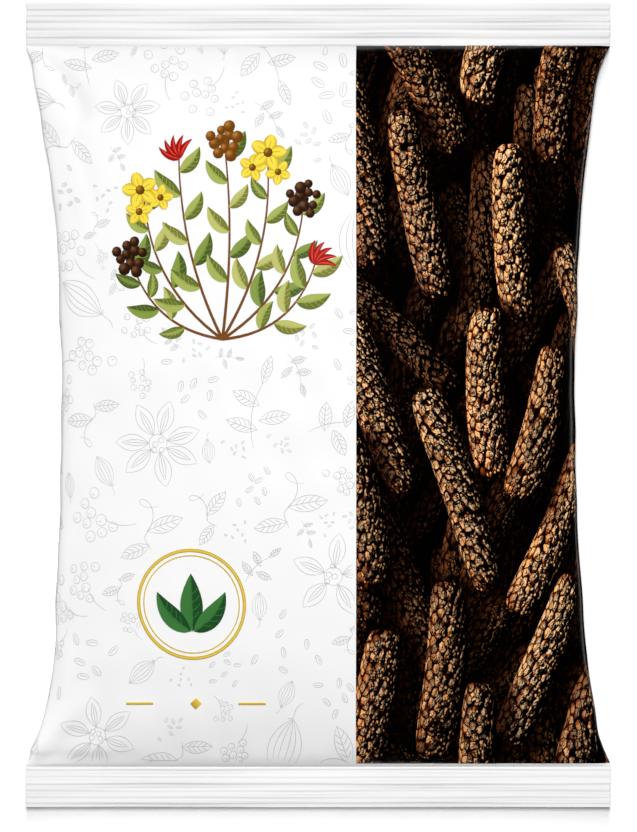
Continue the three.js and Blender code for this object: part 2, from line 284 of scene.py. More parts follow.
TABLE = web_table()
NORMALS = facing_out(TABLE)
print("pouch is", np.round(TABLE.max((0, 1)) - TABLE.min((0, 1)), 1), "mm")


# %% A place on the flat web to a point of the pouch
def on_film(s, y, lift):
    """Points in metres for places on the web, lifted off the film by so many millimetres, and the
    way that the film faces there."""
    col = np.clip((np.asarray(s) - COLUMNS[0]) / (COLUMNS[1] - COLUMNS[0]), 0, len(COLUMNS) - 1.001)
    row = np.clip(np.interp(y, ROWS, np.arange(len(ROWS))), 0, len(ROWS) - 1.001)
    i, j = row.astype(int), col.astype(int)
    a, b = (row - i)[:, None], (col - j)[:, None]

    def mixed(table):
        upper = table[i, j] * (1 - b) + table[i, j + 1] * b
        lower = table[i + 1, j] * (1 - b) + table[i + 1, j + 1] * b
        return upper * (1 - a) + lower * a

    facing = mixed(NORMALS)
    return (mixed(TABLE) + facing * np.asarray(lift)[:, None]) * MM, facing


print("middle of the front, in metres:", np.round(on_film([0], [0], [0])[0][0], 4).tolist())

# %% [markdown]
# ## The film
# On the real thing the film is a flat web first. So here too: a flat grid is added, its points are
# moved on to the table, and its two long edges, which meet at the middle of the back, are merged.
# The grid's own UV map stays as it was on the flat web, and the finish reads the print from it. The
# two cut ends are closed across the thickness of the bonded layers. A tube would be closed from the
# start, but it would have to be unwrapped again for the print.

# %% The film, from flat web to pouch
def deselect():
    bpy.ops.object.select_all(action="DESELECT")


deselect()
bpy.ops.mesh.primitive_grid_add(x_subdivisions=len(COLUMNS) - 1, y_subdivisions=len(ROWS) - 1, size=1)
film = bpy.context.object
film.name = film.data.name = "pouch_film_web"
count = len(film.data.vertices)
flat = np.zeros(count * 3)
film.data.vertices.foreach_get("co", flat)
flat = flat.reshape(-1, 3)
column = np.rint((flat[:, 0] + 0.5) * (len(COLUMNS) - 1)).astype(int)
row = np.rint((flat[:, 1] + 0.5) * (len(ROWS) - 1)).astype(int)
film.data.vertices.foreach_set("co", (TABLE[row, column] * MM).ravel())
print("film has", count, "points")

# %% The web's place, kept as a UV map in metres
loops = np.zeros(len(film.data.loops), int)
film.data.loops.foreach_get("vertex_index", loops)
web_uv = np.stack([COLUMNS[column[loops]], ROWS[row[loops]]], axis=1) * MM
film.data.uv_layers.active.name = "web"
film.data.uv_layers.active.data.foreach_set("uv", web_uv.ravel())
print("the web reaches, in mm,", np.round(web_uv.max(axis=0) / MM, 1).tolist(), "from its middle")

# %% How deep the jaws pressed each point, from 0 to 1; the white finish paints shade in the grooves from it
pressed = film.data.attributes.new("pressed", "FLOAT", "POINT")
in_groove = crimp(TABLE[row, column, 0], ROWS[row]) / 0.5
pressed.data.foreach_set("value", np.clip(in_groove, 0, 1))
print("deepest groove:", round(float(in_groove.max()), 2))

# %% The seamed back and the two cut ends
bpy.ops.object.mode_set(mode="EDIT")
bpy.ops.mesh.select_all(action="SELECT")
bpy.ops.mesh.remove_doubles(threshold=0.00001)
bpy.ops.mesh.select_all(action="DESELECT")
bpy.ops.object.mode_set(mode="OBJECT")
for side in (-1, 1):
    for vertex in film.data.vertices:
        vertex.select = abs(vertex.co.y - side * PACK_LENGTH / 2 * MM) < 1e-6
    bpy.ops.object.mode_set(mode="EDIT")
    bpy.ops.mesh.select_mode(type="VERT")
    bpy.ops.mesh.edge_face_add()
    bpy.ops.mesh.select_all(action="DESELECT")
    bpy.ops.object.mode_set(mode="OBJECT")
bpy.ops.object.shade_smooth_by_angle(angle=math.radians(60))
print("film has", len(film.data.polygons), "faces")

# %% [markdown]
# ## The back seam
# The web's two long edges are bonded inside to inside and folded flat along the back, as a fin about
# 10 mm wide. It is a thin double layer: a slim bar is cut into short lengths by subdividing its long
# edges, and then follows the back's line down to the seals. The pouch rests on it. A fold in the
# film's own grid would need columns far closer together than anywhere else.

# %% Cutting the edges that run one way
def cut_edges(piece, axis, cuts):
    """Cuts every edge that runs along an axis into equal lengths, and the faces between with them."""
    bpy.ops.object.mode_set(mode="EDIT")
    bpy.ops.mesh.select_mode(type="EDGE")
    bpy.ops.mesh.select_all(action="DESELECT")
    bpy.ops.object.mode_set(mode="OBJECT")
    for edge in piece.data.edges:
        start, end = (piece.data.vertices[v].co for v in edge.vertices)
        edge.select = abs((end - start).normalized()[axis]) > 0.99
    bpy.ops.object.mode_set(mode="EDIT")
    bpy.ops.mesh.subdivide(number_cuts=cuts)
    bpy.ops.object.mode_set(mode="OBJECT")


# %% The fin seam
FIN_WIDTH, FIN_THICKNESS = 10.0, 0.45
deselect()
bpy.ops.mesh.primitive_cube_add(size=1)
fin = bpy.context.object
fin.name = fin.data.name = "back_fin_seam"
# Every half millimetre along, and in eight across.
cut_edges(fin, 1, 335)
cut_edges(fin, 0, 7)
for vertex in fin.data.vertices:
    x, y = vertex.co.x * FIN_WIDTH, vertex.co.y * PACK_LENGTH
    back = float(np.interp(y, ROWS, TABLE[:, 0, 2]))
    wander = 0.25 * math.sin(y / 13) + 0.1 * math.sin(y / 4.1)
    low = max(back - FIN_THICKNESS, 0)
    vertex.co = (np.array([x + wander, y, back + 0.03 if vertex.co.z > 0 else low])) * MM
bpy.ops.object.mode_set(mode="EDIT")
bpy.ops.mesh.select_all(action="SELECT")
bpy.ops.mesh.normals_make_consistent(inside=False)
bpy.ops.object.mode_set(mode="OBJECT")
bpy.ops.object.shade_smooth_by_angle(angle=math.radians(40))
print("fin has", len(fin.data.polygons), "faces")

# %% [markdown]
# ## Tools for the finishes
# Colours are written as the hex values one would pick from a photograph, and turned to the linear
# values that the renderer works in. One function adds a node. Its inputs are values or another
# node's output, by name or number or simply in order, and settings are the node's own fields.

# %% Colours
def linear(code):
    parts = [int(code[i : i + 2], 16) / 255 for i in (1, 3, 5)]
    return tuple(p / 12.92 if p <= 0.04045 else ((p + 0.055) / 1.055) ** 2.4 for p in parts)


def paint(code):
    return (*linear(code), 1.0)


print("a mid grey is", round(linear("#808080")[0], 3), "in linear light")


# %% Nodes
def put(tree, kind, inputs=(), out=0, **settings):
    """Adds a node and gives back one of its outputs, or the node itself where out is None."""
    node = tree.nodes.new("ShaderNode" + kind)
    for name, value in settings.items():
        setattr(node, name, value)
    for name, value in inputs.items() if isinstance(inputs, dict) else enumerate(inputs):
        if isinstance(value, bpy.types.NodeSocket):
            tree.links.new(value, node.inputs[name])
        else:
            node.inputs[name].default_value = value
    return node if out is None else node.outputs[out]


def chain(tree, kind, value, others, **settings):
    """Adds the same node once for each of the other values, one after the other."""
    for other in others:
        value = put(tree, kind, (value, other), **settings)
    return value


# %% Colour ramps and new finishes
def set_stops(ramp, stops):
    """Gives a colour ramp its places and colours, in rising order."""
    elements = ramp.node.color_ramp.elements
    for element, (place, code) in ((elements[0], stops[0]), (elements[-1], stops[-1])):
        element.position = place
        element.color = paint(code)
    for place, code in stops[1:-1]:
        elements.new(place).color = paint(code)


def finish_named(name):
    material = bpy.data.materials.new(name)
    material.use_nodes = True
    material.node_tree.nodes.clear()
    return material, material.node_tree


# %% [markdown]
# ## White laminate
# The film is polypropylene laminated over a white layer. It is milk white and glossy, and it never
# lies quite flat: a very low unevenness a few millimetres across breaks up its reflections, and a
# finer one, under a millimetre, softens them. Both are far too low to show in the outline, so they
# are a bump in the finish and not part of the mesh.

# %% How uneven the laminate lies
FILM_IOR = 1.49  # polypropylene


def laminate_bump(tree):
    place = put(tree, "TexCoord", out="Object")
    slow = put(tree, "TexNoise", {"Vector": place, "Scale": 1 / 0.006, "Detail": 2.0})
    fine = put(tree, "TexNoise", {"Vector": place, "Scale": 1 / 0.0009, "Detail": 3.0})
    both = put(tree, "Math", {0: fine, 1: 0.12, 2: slow}, operation="MULTIPLY_ADD")
    return put(tree, "Bump", {"Height": both, "Distance": 0.0001, "Strength": 0.5})


# %% Glossy white laminate film
white_laminate, tree = finish_named("glossy_white_laminate_film")
place = put(tree, "TexCoord", out="Object")
cloud = put(tree, "TexNoise", {"Vector": place, "Scale": 1 / 0.02, "Detail": 3.0})
white = put(tree, "ValToRGB", {"Fac": cloud})
set_stops(white, ((0.0, "#f4f4f4"), (1.0, "#fafafa")))
# The white is painted greyer in the grooves of the crimp: painted shade, deepest where the jaws
# pressed deepest. A colour mix has its colours at inputs 6 and 7.
painted_groove_shade = put(tree, "Attribute", attribute_name="pressed", out="Fac")
white = put(tree, "Mix", {0: painted_groove_shade, 6: white, 7: paint("#c8c8c8")}, out=2, data_type="RGBA")
rough = put(tree, "MapRange", {"Value": cloud, "To Min": 0.2, "To Max": 0.3})
gloss = {"Roughness": rough, "IOR": FILM_IOR, "Normal": laminate_bump(tree)}
shader = put(tree, "BsdfPrincipled", {"Base Color": white, **gloss})
put(tree, "OutputMaterial", {"Surface": shader}, out=None)
film.data.materials.append(white_laminate)
fin.data.materials.append(white_laminate)
print("film's finish has", len(tree.nodes), "nodes")

# %% [markdown]
# ## The dark printed panel
# The right of the front, and a strip of the back behind it, is printed dark, with a photograph of
# heaped spikes on it. Its ground is almost black with a breath of brown. The ground is the film's
# own faces, so its left border is as straight as the web's column of faces. A mask in the white
# finish would do too, but the panel is another ink, and is better as a finish of its own.

# %% Dark ground ink under gloss laminate
PANEL_LEFT, PANEL_RIGHT, PRINT_END = 8.0, 75.0, 74.8
dark_ground, tree = finish_named("dark_ground_ink_under_gloss")
web = put(tree, "UVMap", uv_map="web")
blur = put(tree, "TexNoise", {"Vector": web, "Scale": 1 / 0.007, "Detail": 2.0})
ground = put(tree, "ValToRGB", {"Fac": blur})
set_stops(ground, ((0.45, "#020101"), (0.8, "#0a0503")))
gloss = {"Roughness": 0.2, "IOR": FILM_IOR, "Normal": laminate_bump(tree)}
shader = put(tree, "BsdfPrincipled", {"Base Color": ground, **gloss})
put(tree, "OutputMaterial", {"Surface": shader}, out=None)
film.data.materials.append(dark_ground)
print("panel's ground has", len(tree.nodes), "nodes")

# %% The film's dark faces
uv = web_uv / MM
dark_faces = 0
for face in film.data.polygons:
    if len(face.vertices) != 4:
        continue
    s, y = uv[face.loop_start : face.loop_start + 4].mean(axis=0)
    if PANEL_LEFT < s < PANEL_RIGHT and abs(y) < PRINT_END:
        face.material_index = 1
        dark_faces += 1
print("dark faces:", dark_faces)

# %% [markdown]
# ## The printed spikes
# The picture on the panel is printed, so nothing stands out of the film: each printed spike is a flat
# patch, and its roundness and its grains are painted by its finish. Dried long pepper is a blunt rod
# 7 to 8 mm thick and 30 to 45 mm long, set all over with hard fruitlets a millimetre or so across,
# in slanting rows. The picture shows them a little over life size. It has its own light, low from
# the upper left, so that each rod is lit on that side and falls to black on the other. A picture
# file is the usual way. Painted by nodes, the print needs no file and stays sharp from near by.
#
# Where the spikes lie is drawn by lot: a few rounds of darts, each kept if it stays clear enough of
# the ones before. The first rounds are the dark ones far behind, the last the bright ones in front.

# %% Where the printed spikes lie
spike_dice = np.random.default_rng(2024)
LEANS, LEAN_SHARES = [68, 114, 50, 88, 150], [0.32, 0.26, 0.16, 0.2, 0.06]  # degrees, and how often
LAYERS = [
    # how many, brightness, least distance between middles' lines, tries, thickness
    (60, 0.09, 2.6, 700, 0.9),
    (44, 0.27, 4.6, 1200, 0.98),
    (34, 1.0, 6.4, 4000, 1.08),
]
LENGTHS, RADII, HEADING_SPREAD = (31, 44), (3.8, 4.6), 11


def apart(a, b):
    """The least distance between two spikes, taken as rods."""
    ends = np.linspace(-1, 1, 9)
    first = a["middle"] + ends[:, None] * a["way"] * a["length"] / 2
    second = b["middle"] + ends[:, None] * b["way"] * b["length"] / 2
    return np.hypot(*(first[:, None] - second[None]).transpose(2, 0, 1)).min()


# %% Drawn by lot, layer by layer
printed = []
for number, bright, least, tries, thick in LAYERS:
    layer = []
    for _ in range(tries):
        lean = spike_dice.choice(LEANS, p=LEAN_SHARES)
        heading = math.radians(lean + spike_dice.normal(0, HEADING_SPREAD))
        spike = {
            "middle": np.array([spike_dice.uniform(4, 74), spike_dice.uniform(-80, 80)]),
            "way": np.array([math.cos(heading), math.sin(heading)]),
            "length": spike_dice.uniform(*LENGTHS), "radius": thick * spike_dice.uniform(*RADII),
            "bend": spike_dice.uniform(-1.6, 1.6), "bright": bright * spike_dice.uniform(0.6, 1.25),
            "seed": spike_dice.uniform(0, 900, 2), "flip": spike_dice.choice([-1, 1]),
            "warm": spike_dice.uniform(0, 1),
        }
        if all(apart(spike, other) > least for other in layer):
            layer.append(spike)
        if len(layer) == number:
            break
    printed += layer
    print("layer of", len(layer), "spikes")

# %% Which lies over which
# A patch is lifted just enough to clear the ones that it crosses.
LIFT_STEP = 0.003
for index, spike in enumerate(printed):
    under = [other["lift"] for other in printed[:index]
             if apart(spike, other) < spike["radius"] + other["radius"] + 2]
    spike["lift"] = max(under, default=0) + LIFT_STEP
print("highest patch, mm:", round(max(spike["lift"] for spike in printed), 3))

# %% [markdown]
# ## One patch, copied
# One grid is modelled, and each spike gets a copy of its mesh. Its points are moved so that the rows
# run along the spike, closer together at its blunt ends, and the columns across it. Every point
# carries what the finish paints from: how far along and round the spike it is, which way the
# surface of the rod faces there, and the picture's light as the rod sees it. One finish over the
# whole panel could paint a single spike so, but not many that lie across one another.

# %% The patch grid and the picture's light
PATCH_ROWS, PATCH_COLUMNS = 48, 12
LIGHT = np.array([-0.88, 0.34, 0.14])
LIGHT /= np.linalg.norm(LIGHT)
BLUNT, TAPER = 4.5, 0.14
# A shadow is looked for this far toward the light. It has a darkest share and a soft edge.
SHADE_REACH, SHADE_DARK, SHADE_EDGE = 3.2, 0.12, 3.6
deselect()
bpy.ops.mesh.primitive_grid_add(x_subdivisions=PATCH_ROWS, y_subdivisions=PATCH_COLUMNS, size=2)
patch = bpy.context.object
unit = np.zeros(len(patch.data.vertices) * 3)
patch.data.vertices.foreach_get("co", unit)
unit = unit.reshape(-1, 3)
along = np.sin(unit[:, 0] * math.pi / 2) * 0.998
across = np.sin(unit[:, 1] * math.pi / 2) * 0.995
print("a patch has", len(unit), "points")


# %% One patch laid on the web
def lay_spike(spike, above):
    """The patch's points on the web, and what the finish needs to know at each."""
    end = (1 - np.abs(along) ** BLUNT) ** (1 / BLUNT)
    taper = 1 - TAPER * (1 + along * spike["flip"]) / 2
    radius = spike["radius"] * end * taper
    u = along * spike["length"] / 2
    slope = -spike["radius"] * taper * np.sign(along) * np.abs(along) ** (BLUNT - 1)
    slope *= np.maximum(end, 0.05) ** (1 - BLUNT) * 2 / spike["length"]
    tip = -slope / np.hypot(1, slope)
    bow = spike["bend"] * (0.5 - along**2)
    side = np.array([-spike["way"][1], spike["way"][0]])
    web_place = spike["middle"] + u[:, None] * spike["way"] + (across * radius + bow)[:, None] * side
    # A spike in front keeps the light off the one behind it, on the side away from the light.
    shade = np.ones(len(u))
    toward = web_place + LIGHT[:2] * SHADE_REACH
    for other in above:
        half = other["length"] / 2 - 3
        reach = ((toward - other["middle"]) @ other["way"]).clip(-half, half)
        gap = np.hypot(*(toward - other["middle"] - reach[:, None] * other["way"]).T) - other["radius"]
        open_to_light = np.clip((gap + 0.8) / SHADE_EDGE, 0, 1)
        shade = np.minimum(shade, SHADE_DARK + (1 - SHADE_DARK) * open_to_light)
    arc = np.arcsin(across) * np.maximum(radius, 0.6)
    light = np.array([LIGHT[:2] @ spike["way"], LIGHT[:2] @ side, LIGHT[2]])
    from_stalk = spike["length"] / 2 + u * spike["flip"]
    return {
        "place": web_place,
        "grain": np.stack([u * spike["flip"] + spike["seed"][0], arc + spike["seed"][1], u * 0], axis=1),
        "form": np.stack([tip, across, shade * spike["bright"]], axis=1),
        "light": np.broadcast_to(light, (len(u), 3)),
        "stalk": np.stack([from_stalk, across * radius, u * 0 + spike["warm"]], axis=1),
    }


# %% All patches, laid on the film
parts = []
for index, spike in enumerate(printed):
    above = [other for other in printed[index + 1 :] if other["bright"] > spike["bright"] * 0.6]
    laid = lay_spike(spike, above)
    spike_patch = patch.copy()
    spike_patch.data = patch.data.copy()
    bpy.context.collection.objects.link(spike_patch)
    # The patches are laid flat first and cut to the panel, and put on the film after that.
    flat_place = np.column_stack([laid["place"], np.full(len(unit), spike["lift"])])
    spike_patch.data.vertices.foreach_set("co", flat_place.ravel())
    for name in ("grain", "form", "light", "stalk"):
        kept = spike_patch.data.attributes.new("spike_" + name, "FLOAT_VECTOR", "POINT")
        kept.data.foreach_set("vector", np.ascontiguousarray(laid[name], float).ravel())
    parts.append(spike_patch)
bpy.data.objects.remove(patch)
print("patches:", len(parts))

# %% The ground under them
# The print's own black ground lies under the spikes, from border to border.
deselect()
bpy.ops.mesh.primitive_grid_add(x_subdivisions=72, y_subdivisions=156, size=1)
print_ground = bpy.context.object
for vertex in print_ground.data.vertices:
    vertex.co = (vertex.co.x * 72 + (PANEL_LEFT + PANEL_RIGHT) / 2, vertex.co.y * 156, -0.02)
parts.append(print_ground)
deselect()
for part in parts:
    part.select_set(True)
bpy.context.view_layer.objects.active = parts[0]
bpy.ops.object.join()
panel_print = bpy.context.object
panel_print.name = panel_print.data.name = "printed_spikes"
print("the print has", len(panel_print.data.vertices), "points")


# %% Cut to the panel
def cut_where(planes, clear):
    """Cuts the flat piece along planes, and with clear drops what lies beyond them."""
    bpy.ops.object.mode_set(mode="EDIT")
    for point, normal in planes:
        bpy.ops.mesh.select_all(action="SELECT")
        bpy.ops.mesh.bisect(plane_co=point, plane_no=normal, clear_outer=clear)
    bpy.ops.object.mode_set(mode="OBJECT")


cut_where([((PANEL_LEFT, 0, 0), (-1, 0, 0)), ((PANEL_RIGHT, 0, 0), (1, 0, 0)),
           ((0, PRINT_END, 0), (0, 1, 0)), ((0, -PRINT_END, 0), (0, -1, 0))], clear=True)
# Where the film bends sharply the print is cut along the film's own rows and columns, to bend with it.
cut_where([((0, side * row, 0), (0, 1, 0)) for row in steep_rows for side in (-1, 1)]
          + [((s, 0, 0), (1, 0, 0)) for s in range(55, 68)], clear=False)
print("cut, it has", len(panel_print.data.vertices), "points")


# %% Laid on the film
def lay_on_film(piece, base):
    """Moves a flat piece from the web to the film. Its own height, in millimetres, is kept as lift."""
    flat = np.zeros(len(piece.data.vertices) * 3)
    piece.data.vertices.foreach_get("co", flat)
    flat = flat.reshape(-1, 3)
    placed, facing = on_film(flat[:, 0], flat[:, 1], base + flat[:, 2])
    piece.data.vertices.foreach_set("co", placed.ravel())
    piece.data.update()
    # Ink has the film's own smoothness, so it takes the way the film faces.
    piece.data.shade_smooth()
    piece.data.normals_split_custom_set_from_vertices(facing)


lay_on_film(panel_print, 0.06)
print("printed spikes:", len(printed), "with", len(panel_print.data.polygons), "faces")

# %% [markdown]
# ## Painting a rod
# The finish paints the picture's light. The rod's surface faces partly along, partly across and
# partly out, and the grains tilt it further: their height is a cell pattern, read at three places a
# hair apart, and the differences are its slopes. The light on the tilted surface gives the tone, a
# tight highlight picks out the rims of the grains, and the cracks between them stay black. Grains
# in relief would be simpler, but the room's lights would light them, and a print's light is its own.

# %% What the patches carry
photo_print, tree = finish_named("photographic_print_of_spikes_under_gloss")
grain, form, beam, stalk = [
    put(tree, "Attribute", attribute_name="spike_" + name, out="Vector")
    for name in ("grain", "form", "light", "stalk")
]
tip, round_at, level = put(tree, "SeparateXYZ", (form,), out=None).outputs
warm = put(tree, "SeparateXYZ", (stalk,), out="Z")
print("nodes so far:", len(tree.nodes))

# %% Fruitlets, as a cell pattern in slanting rows
GRAIN = 1.6  # mm across one fruitlet
SLANT = 0.42
warp = put(tree, "TexNoise", {"Vector": grain, "Scale": 0.7, "Detail": 3.0}, out="Color")
warped = put(tree, "VectorMath", (warp, (1.0, 1.0, 0.0), grain), operation="MULTIPLY_ADD")
longish = (0.72 / GRAIN, 1.04 / GRAIN, 1)
slant = put(tree, "Mapping", {"Vector": warped, "Rotation": (0, 0, SLANT), "Scale": longish})
FRUITLETS = {"Vector": slant, "Scale": 1.0, "Randomness": 0.74}


def grain_height(shift):
    """The height of the grains at a place a little way off, in grain widths."""
    at = put(tree, "VectorMath", (slant, shift), operation="ADD")
    cells = put(tree, "TexVoronoi", {**FRUITLETS, "Vector": at}, out="Distance", voronoi_dimensions="2D")
    wrinkles = put(tree, "TexNoise", {"Vector": at, "Scale": 2.6, "Detail": 2.0})
    # Flat on top and steep at the rim, with fine wrinkles.
    dome = put(tree, "Math", (cells, 3.2), operation="POWER")
    sunk = put(tree, "Math", (dome, -1.9), operation="MULTIPLY")
    return put(tree, "Math", (wrinkles, 0.5, sunk), operation="MULTIPLY_ADD")


# %% How steep the grains are
STEP, STEEPNESS = 0.07, 0.92
here = grain_height((0, 0, 0))


def slope_toward(shift):
    rise = put(tree, "Math", (grain_height(shift), here), operation="SUBTRACT")
    return put(tree, "Math", (rise, STEEPNESS / STEP), operation="MULTIPLY")


rise_along, rise_across = slope_toward((STEP, 0, 0)), slope_toward((0, STEP, 0))
slopes = put(tree, "CombineXYZ", (rise_along, rise_across, 1.0))
steep = put(tree, "VectorMath", (slopes,), operation="LENGTH", out="Value")
print("nodes so far:", len(tree.nodes))


# %% Which way the rod and its grains face
def third_side(side):
    """The third side of a right triangle with this side and a longest side of one."""
    square = put(tree, "Math", (side, side), operation="MULTIPLY")
    left = put(tree, "Math", (1.0, square), operation="SUBTRACT")
    return put(tree, "Math", (put(tree, "Math", (left, 0.0), operation="MAXIMUM"),), operation="SQRT")


# All three directions are counted along the rod, across it and out of the picture.
facing, level_tip = third_side(round_at), third_side(tip)
rod_across, rod_out = [
    put(tree, "Math", (level_tip, part), operation="MULTIPLY") for part in (round_at, facing)
]
rod = put(tree, "CombineXYZ", (tip, rod_across, rod_out))
lean_across, lean_in = [
    put(tree, "Math", (rise_across, part), operation="MULTIPLY") for part in (facing, round_at)
]
lean_out = put(tree, "Math", (lean_in, -1.0), operation="MULTIPLY")
lean = put(tree, "CombineXYZ", (rise_along, lean_across, lean_out))
grained = put(tree, "VectorMath", (rod, lean), operation="SUBTRACT")
print("nodes so far:", len(tree.nodes))


# %% The picture's light on the grains
def lit(way):
    """How squarely the grained surface faces a direction, from 0 to 1."""
    square_on = put(tree, "VectorMath", (grained, way), operation="DOT_PRODUCT", out="Value")
    return put(tree, "Math", (square_on, steep), operation="DIVIDE", use_clamp=True)


plain = lit(beam)
halfway = put(tree, "VectorMath", (beam, (0.0, 0.0, 1.0)), operation="ADD")
gleam = lit(put(tree, "VectorMath", (halfway,), operation="NORMALIZE"))
rod_side = put(tree, "VectorMath", (rod, beam), operation="DOT_PRODUCT", out="Value")
print("nodes so far:", len(tree.nodes))

# %% Cracks, tones of single fruitlets, and the scar of the stalk
cracks = put(tree, "TexVoronoi", FRUITLETS, out="Distance", voronoi_dimensions="2D",
             feature="DISTANCE_TO_EDGE")
open_grain = put(tree, "MapRange", {"Value": cracks, "From Min": 0.01, "From Max": 0.09},
                 interpolation_type="SMOOTHSTEP")
cell_tone = put(tree, "TexVoronoi", FRUITLETS, out="Color", voronoi_dimensions="2D")
cell_lot = put(tree, "SeparateXYZ", (cell_tone,), out="X")
own_tone = put(tree, "Math", (cell_lot, 0.55, 0.6), operation="MULTIPLY_ADD")
# The scar is a dark dimple at one end.
from_scar = put(tree, "VectorMath", (stalk, (0.55, 0.8, 0.0)), operation="MULTIPLY")
scar_far = put(tree, "VectorMath", (from_scar,), operation="LENGTH", out="Value")
scar = put(tree, "MapRange", {"Value": scar_far, "From Min": 0.35, "From Max": 0.9})
print("nodes so far:", len(tree.nodes))

# %% The lit side: tone and highlight
raw = chain(tree, "Math", plain, (open_grain, own_tone, scar), operation="MULTIPLY")
deep = put(tree, "Math", (raw, 1.9), operation="POWER")
tone = chain(tree, "Math", deep, (1.35, level), operation="MULTIPLY")
body = put(tree, "ValToRGB", {"Fac": tone})
set_stops(body, (
    (0.0, "#020101"), (0.07, "#1c0a04"), (0.18, "#461f0a"), (0.34, "#6a3817"),
    (0.54, "#98592a"), (0.76, "#c08248"), (1.0, "#fdcd90"),
))
tight = put(tree, "Math", (gleam, 14.0), operation="POWER")
dimmed = put(tree, "Math", (level, 0.7), operation="POWER")
spark = chain(tree, "Math", tight, (dimmed, open_grain), operation="MULTIPLY")
print("nodes so far:", len(tree.nodes))

# %% The shaded side: pin points of light, one to a grain, and not on every grain
PINS = {"Vector": slant, "Scale": 1.55, "Randomness": 0.8}
pin_cells = put(tree, "TexVoronoi", PINS, out="Distance", voronoi_dimensions="2D")
pin_colour = put(tree, "TexVoronoi", PINS, out="Color", voronoi_dimensions="2D")
pin_lot = put(tree, "SeparateXYZ", (pin_colour,), out="Y")
shares = [
    put(tree, "MapRange", {"Value": value, "From Min": least, "From Max": most})
    for value, least, most in ((pin_cells, 0.22, 0.12), (pin_lot, 0.35, 0.6),
                               (rod_side, -0.75, -0.2), (rod_side, 0.6, 0.3))
]
pin_level = put(tree, "Math", (level, 1.1), operation="POWER")
pins = chain(tree, "Math", shares[0], (*shares[1:], pin_level, 0.95), operation="MULTIPLY")
print("nodes so far:", len(tree.nodes))

# %% All of it mixed
# Some spikes are a warmer brown than others.
TINTS = {6: (1.04, 0.93, 0.84, 1), 7: (1.14, 0.76, 0.45, 1)}
tinted = put(tree, "Mix", {0: warm, **TINTS}, out=2, data_type="RGBA")
toned = put(tree, "Mix", {0: 1.0, 6: body, 7: tinted}, out=2, data_type="RGBA", blend_type="MULTIPLY")
glint = put(tree, "Mix", {0: level, 6: paint("#a05a22"), 7: paint("#ffdcaa")}, out=2, data_type="RGBA")
painted = put(tree, "Mix", {0: spark, 6: toned, 7: glint}, out=2, data_type="RGBA")
painted = put(tree, "Mix", {0: pins, 6: painted, 7: paint("#f6b46e")}, out=2, data_type="RGBA")
gloss = {"Roughness": 0.2, "IOR": FILM_IOR, "Normal": laminate_bump(tree)}
shader = put(tree, "BsdfPrincipled", {"Base Color": painted, **gloss})
put(tree, "OutputMaterial", {"Surface": shader}, out=None)
panel_print.data.materials.append(photo_print)
print("print's finish has", len(tree.nodes), "nodes")

# %% [markdown]
# ## Ink on the web
# Everything else on the front is flat ink too. A stroke or a leaf is a strip on the web: a middle
# line, half a width at each of its points, and a colour at each point across. Strips are gathered on
# one sheet, each a hair above the one before, and the sheet is then laid on the film like the
# spikes. One finish serves them all: it takes its colour from the strip and its gloss from the
# laminate that covers the ink. Bevelled curves are the quicker way to draw, but they would stand out
# of the film, and each of their tubes has many more faces than a strip.

# %% Ink strips
def new_sheet(step):
    """An empty sheet. Each strip lies a step, in millimetres, above the one before."""
    return {"points": [], "faces": [], "colours": [], "count": 0, "strips": 0, "step": step}


def strip(sheet, middle, half, shades):
    """Adds a strip. shades are the colours across it, one row for every point or one for all."""
    middle = np.asarray(middle, float)
    half = np.broadcast_to(np.asarray(half, float), len(middle))
    way = np.gradient(middle, axis=0)
    way /= np.maximum(np.linalg.norm(way, axis=1, keepdims=True), 1e-9)
    side = np.stack([-way[:, 1], way[:, 0]], axis=1)
    shades = np.asarray(shades, float)
    if shades.ndim == 2:
        shades = np.broadcast_to(shades, (len(middle), *shades.shape))
    columns = shades.shape[1]
    reach = np.linspace(-1, 1, columns)
    flat = middle[:, None] + side[:, None] * (half[:, None] * reach)[..., None]
    height = np.full((*flat.shape[:2], 1), sheet["strips"] * sheet["step"])
    sheet["points"].append(np.concatenate([flat, height], axis=2).reshape(-1, 3))
    sheet["colours"].append(shades.reshape(-1, 3))
    r, c = np.meshgrid(np.arange(len(middle) - 1), np.arange(columns - 1), indexing="ij")
    first = sheet["count"] + (r * columns + c).ravel()
    sheet["faces"].append(np.stack([first, first + columns, first + columns + 1, first + 1], axis=1))
    sheet["count"] += len(middle) * columns
    sheet["strips"] += 1


# %% From a sheet of strips to a piece
def shade(*codes):
    return [linear(code) for code in codes]


def printed_piece(sheet, name, base, finish):
    mesh = bpy.data.meshes.new(name)
    mesh.from_pydata(np.concatenate(sheet["points"]), [], np.concatenate(sheet["faces"]).tolist())
    ink = mesh.attributes.new("ink", "FLOAT_COLOR", "POINT")
    colours = np.concatenate(sheet["colours"])
    ink.data.foreach_set("color", np.column_stack([colours, np.ones(len(colours))]).ravel())
    piece = bpy.data.objects.new(name, mesh)
    bpy.context.collection.objects.link(piece)
    mesh.materials.append(finish)
    lay_on_film(piece, base)
    print(name, "has", sheet["strips"], "strips and", len(mesh.polygons), "faces")
    return piece


# %% Printing ink under gloss laminate
printing_ink, tree = finish_named("printing_ink_under_gloss")
ink = put(tree, "Attribute", attribute_name="ink", out="Color")
# Ink lies a little unevenly: the mottle is 0.4 mm across and faint.
web_place = put(tree, "TexCoord", out="Object")
mottle = put(tree, "TexNoise", {"Vector": web_place, "Scale": 1 / 0.0004, "Detail": 2.0})
even = put(tree, "MapRange", {"Value": mottle, "To Min": 0.9, "To Max": 1.06})
spread = put(tree, "VectorMath", {0: ink, "Scale": even}, operation="SCALE")
gloss = {"Roughness": 0.26, "IOR": FILM_IOR, "Normal": laminate_bump(tree)}
shader = put(tree, "BsdfPrincipled", {"Base Color": spread, **gloss})
put(tree, "OutputMaterial", {"Surface": shader}, out=None)
print("ink's finish has", len(tree.nodes), "nodes")

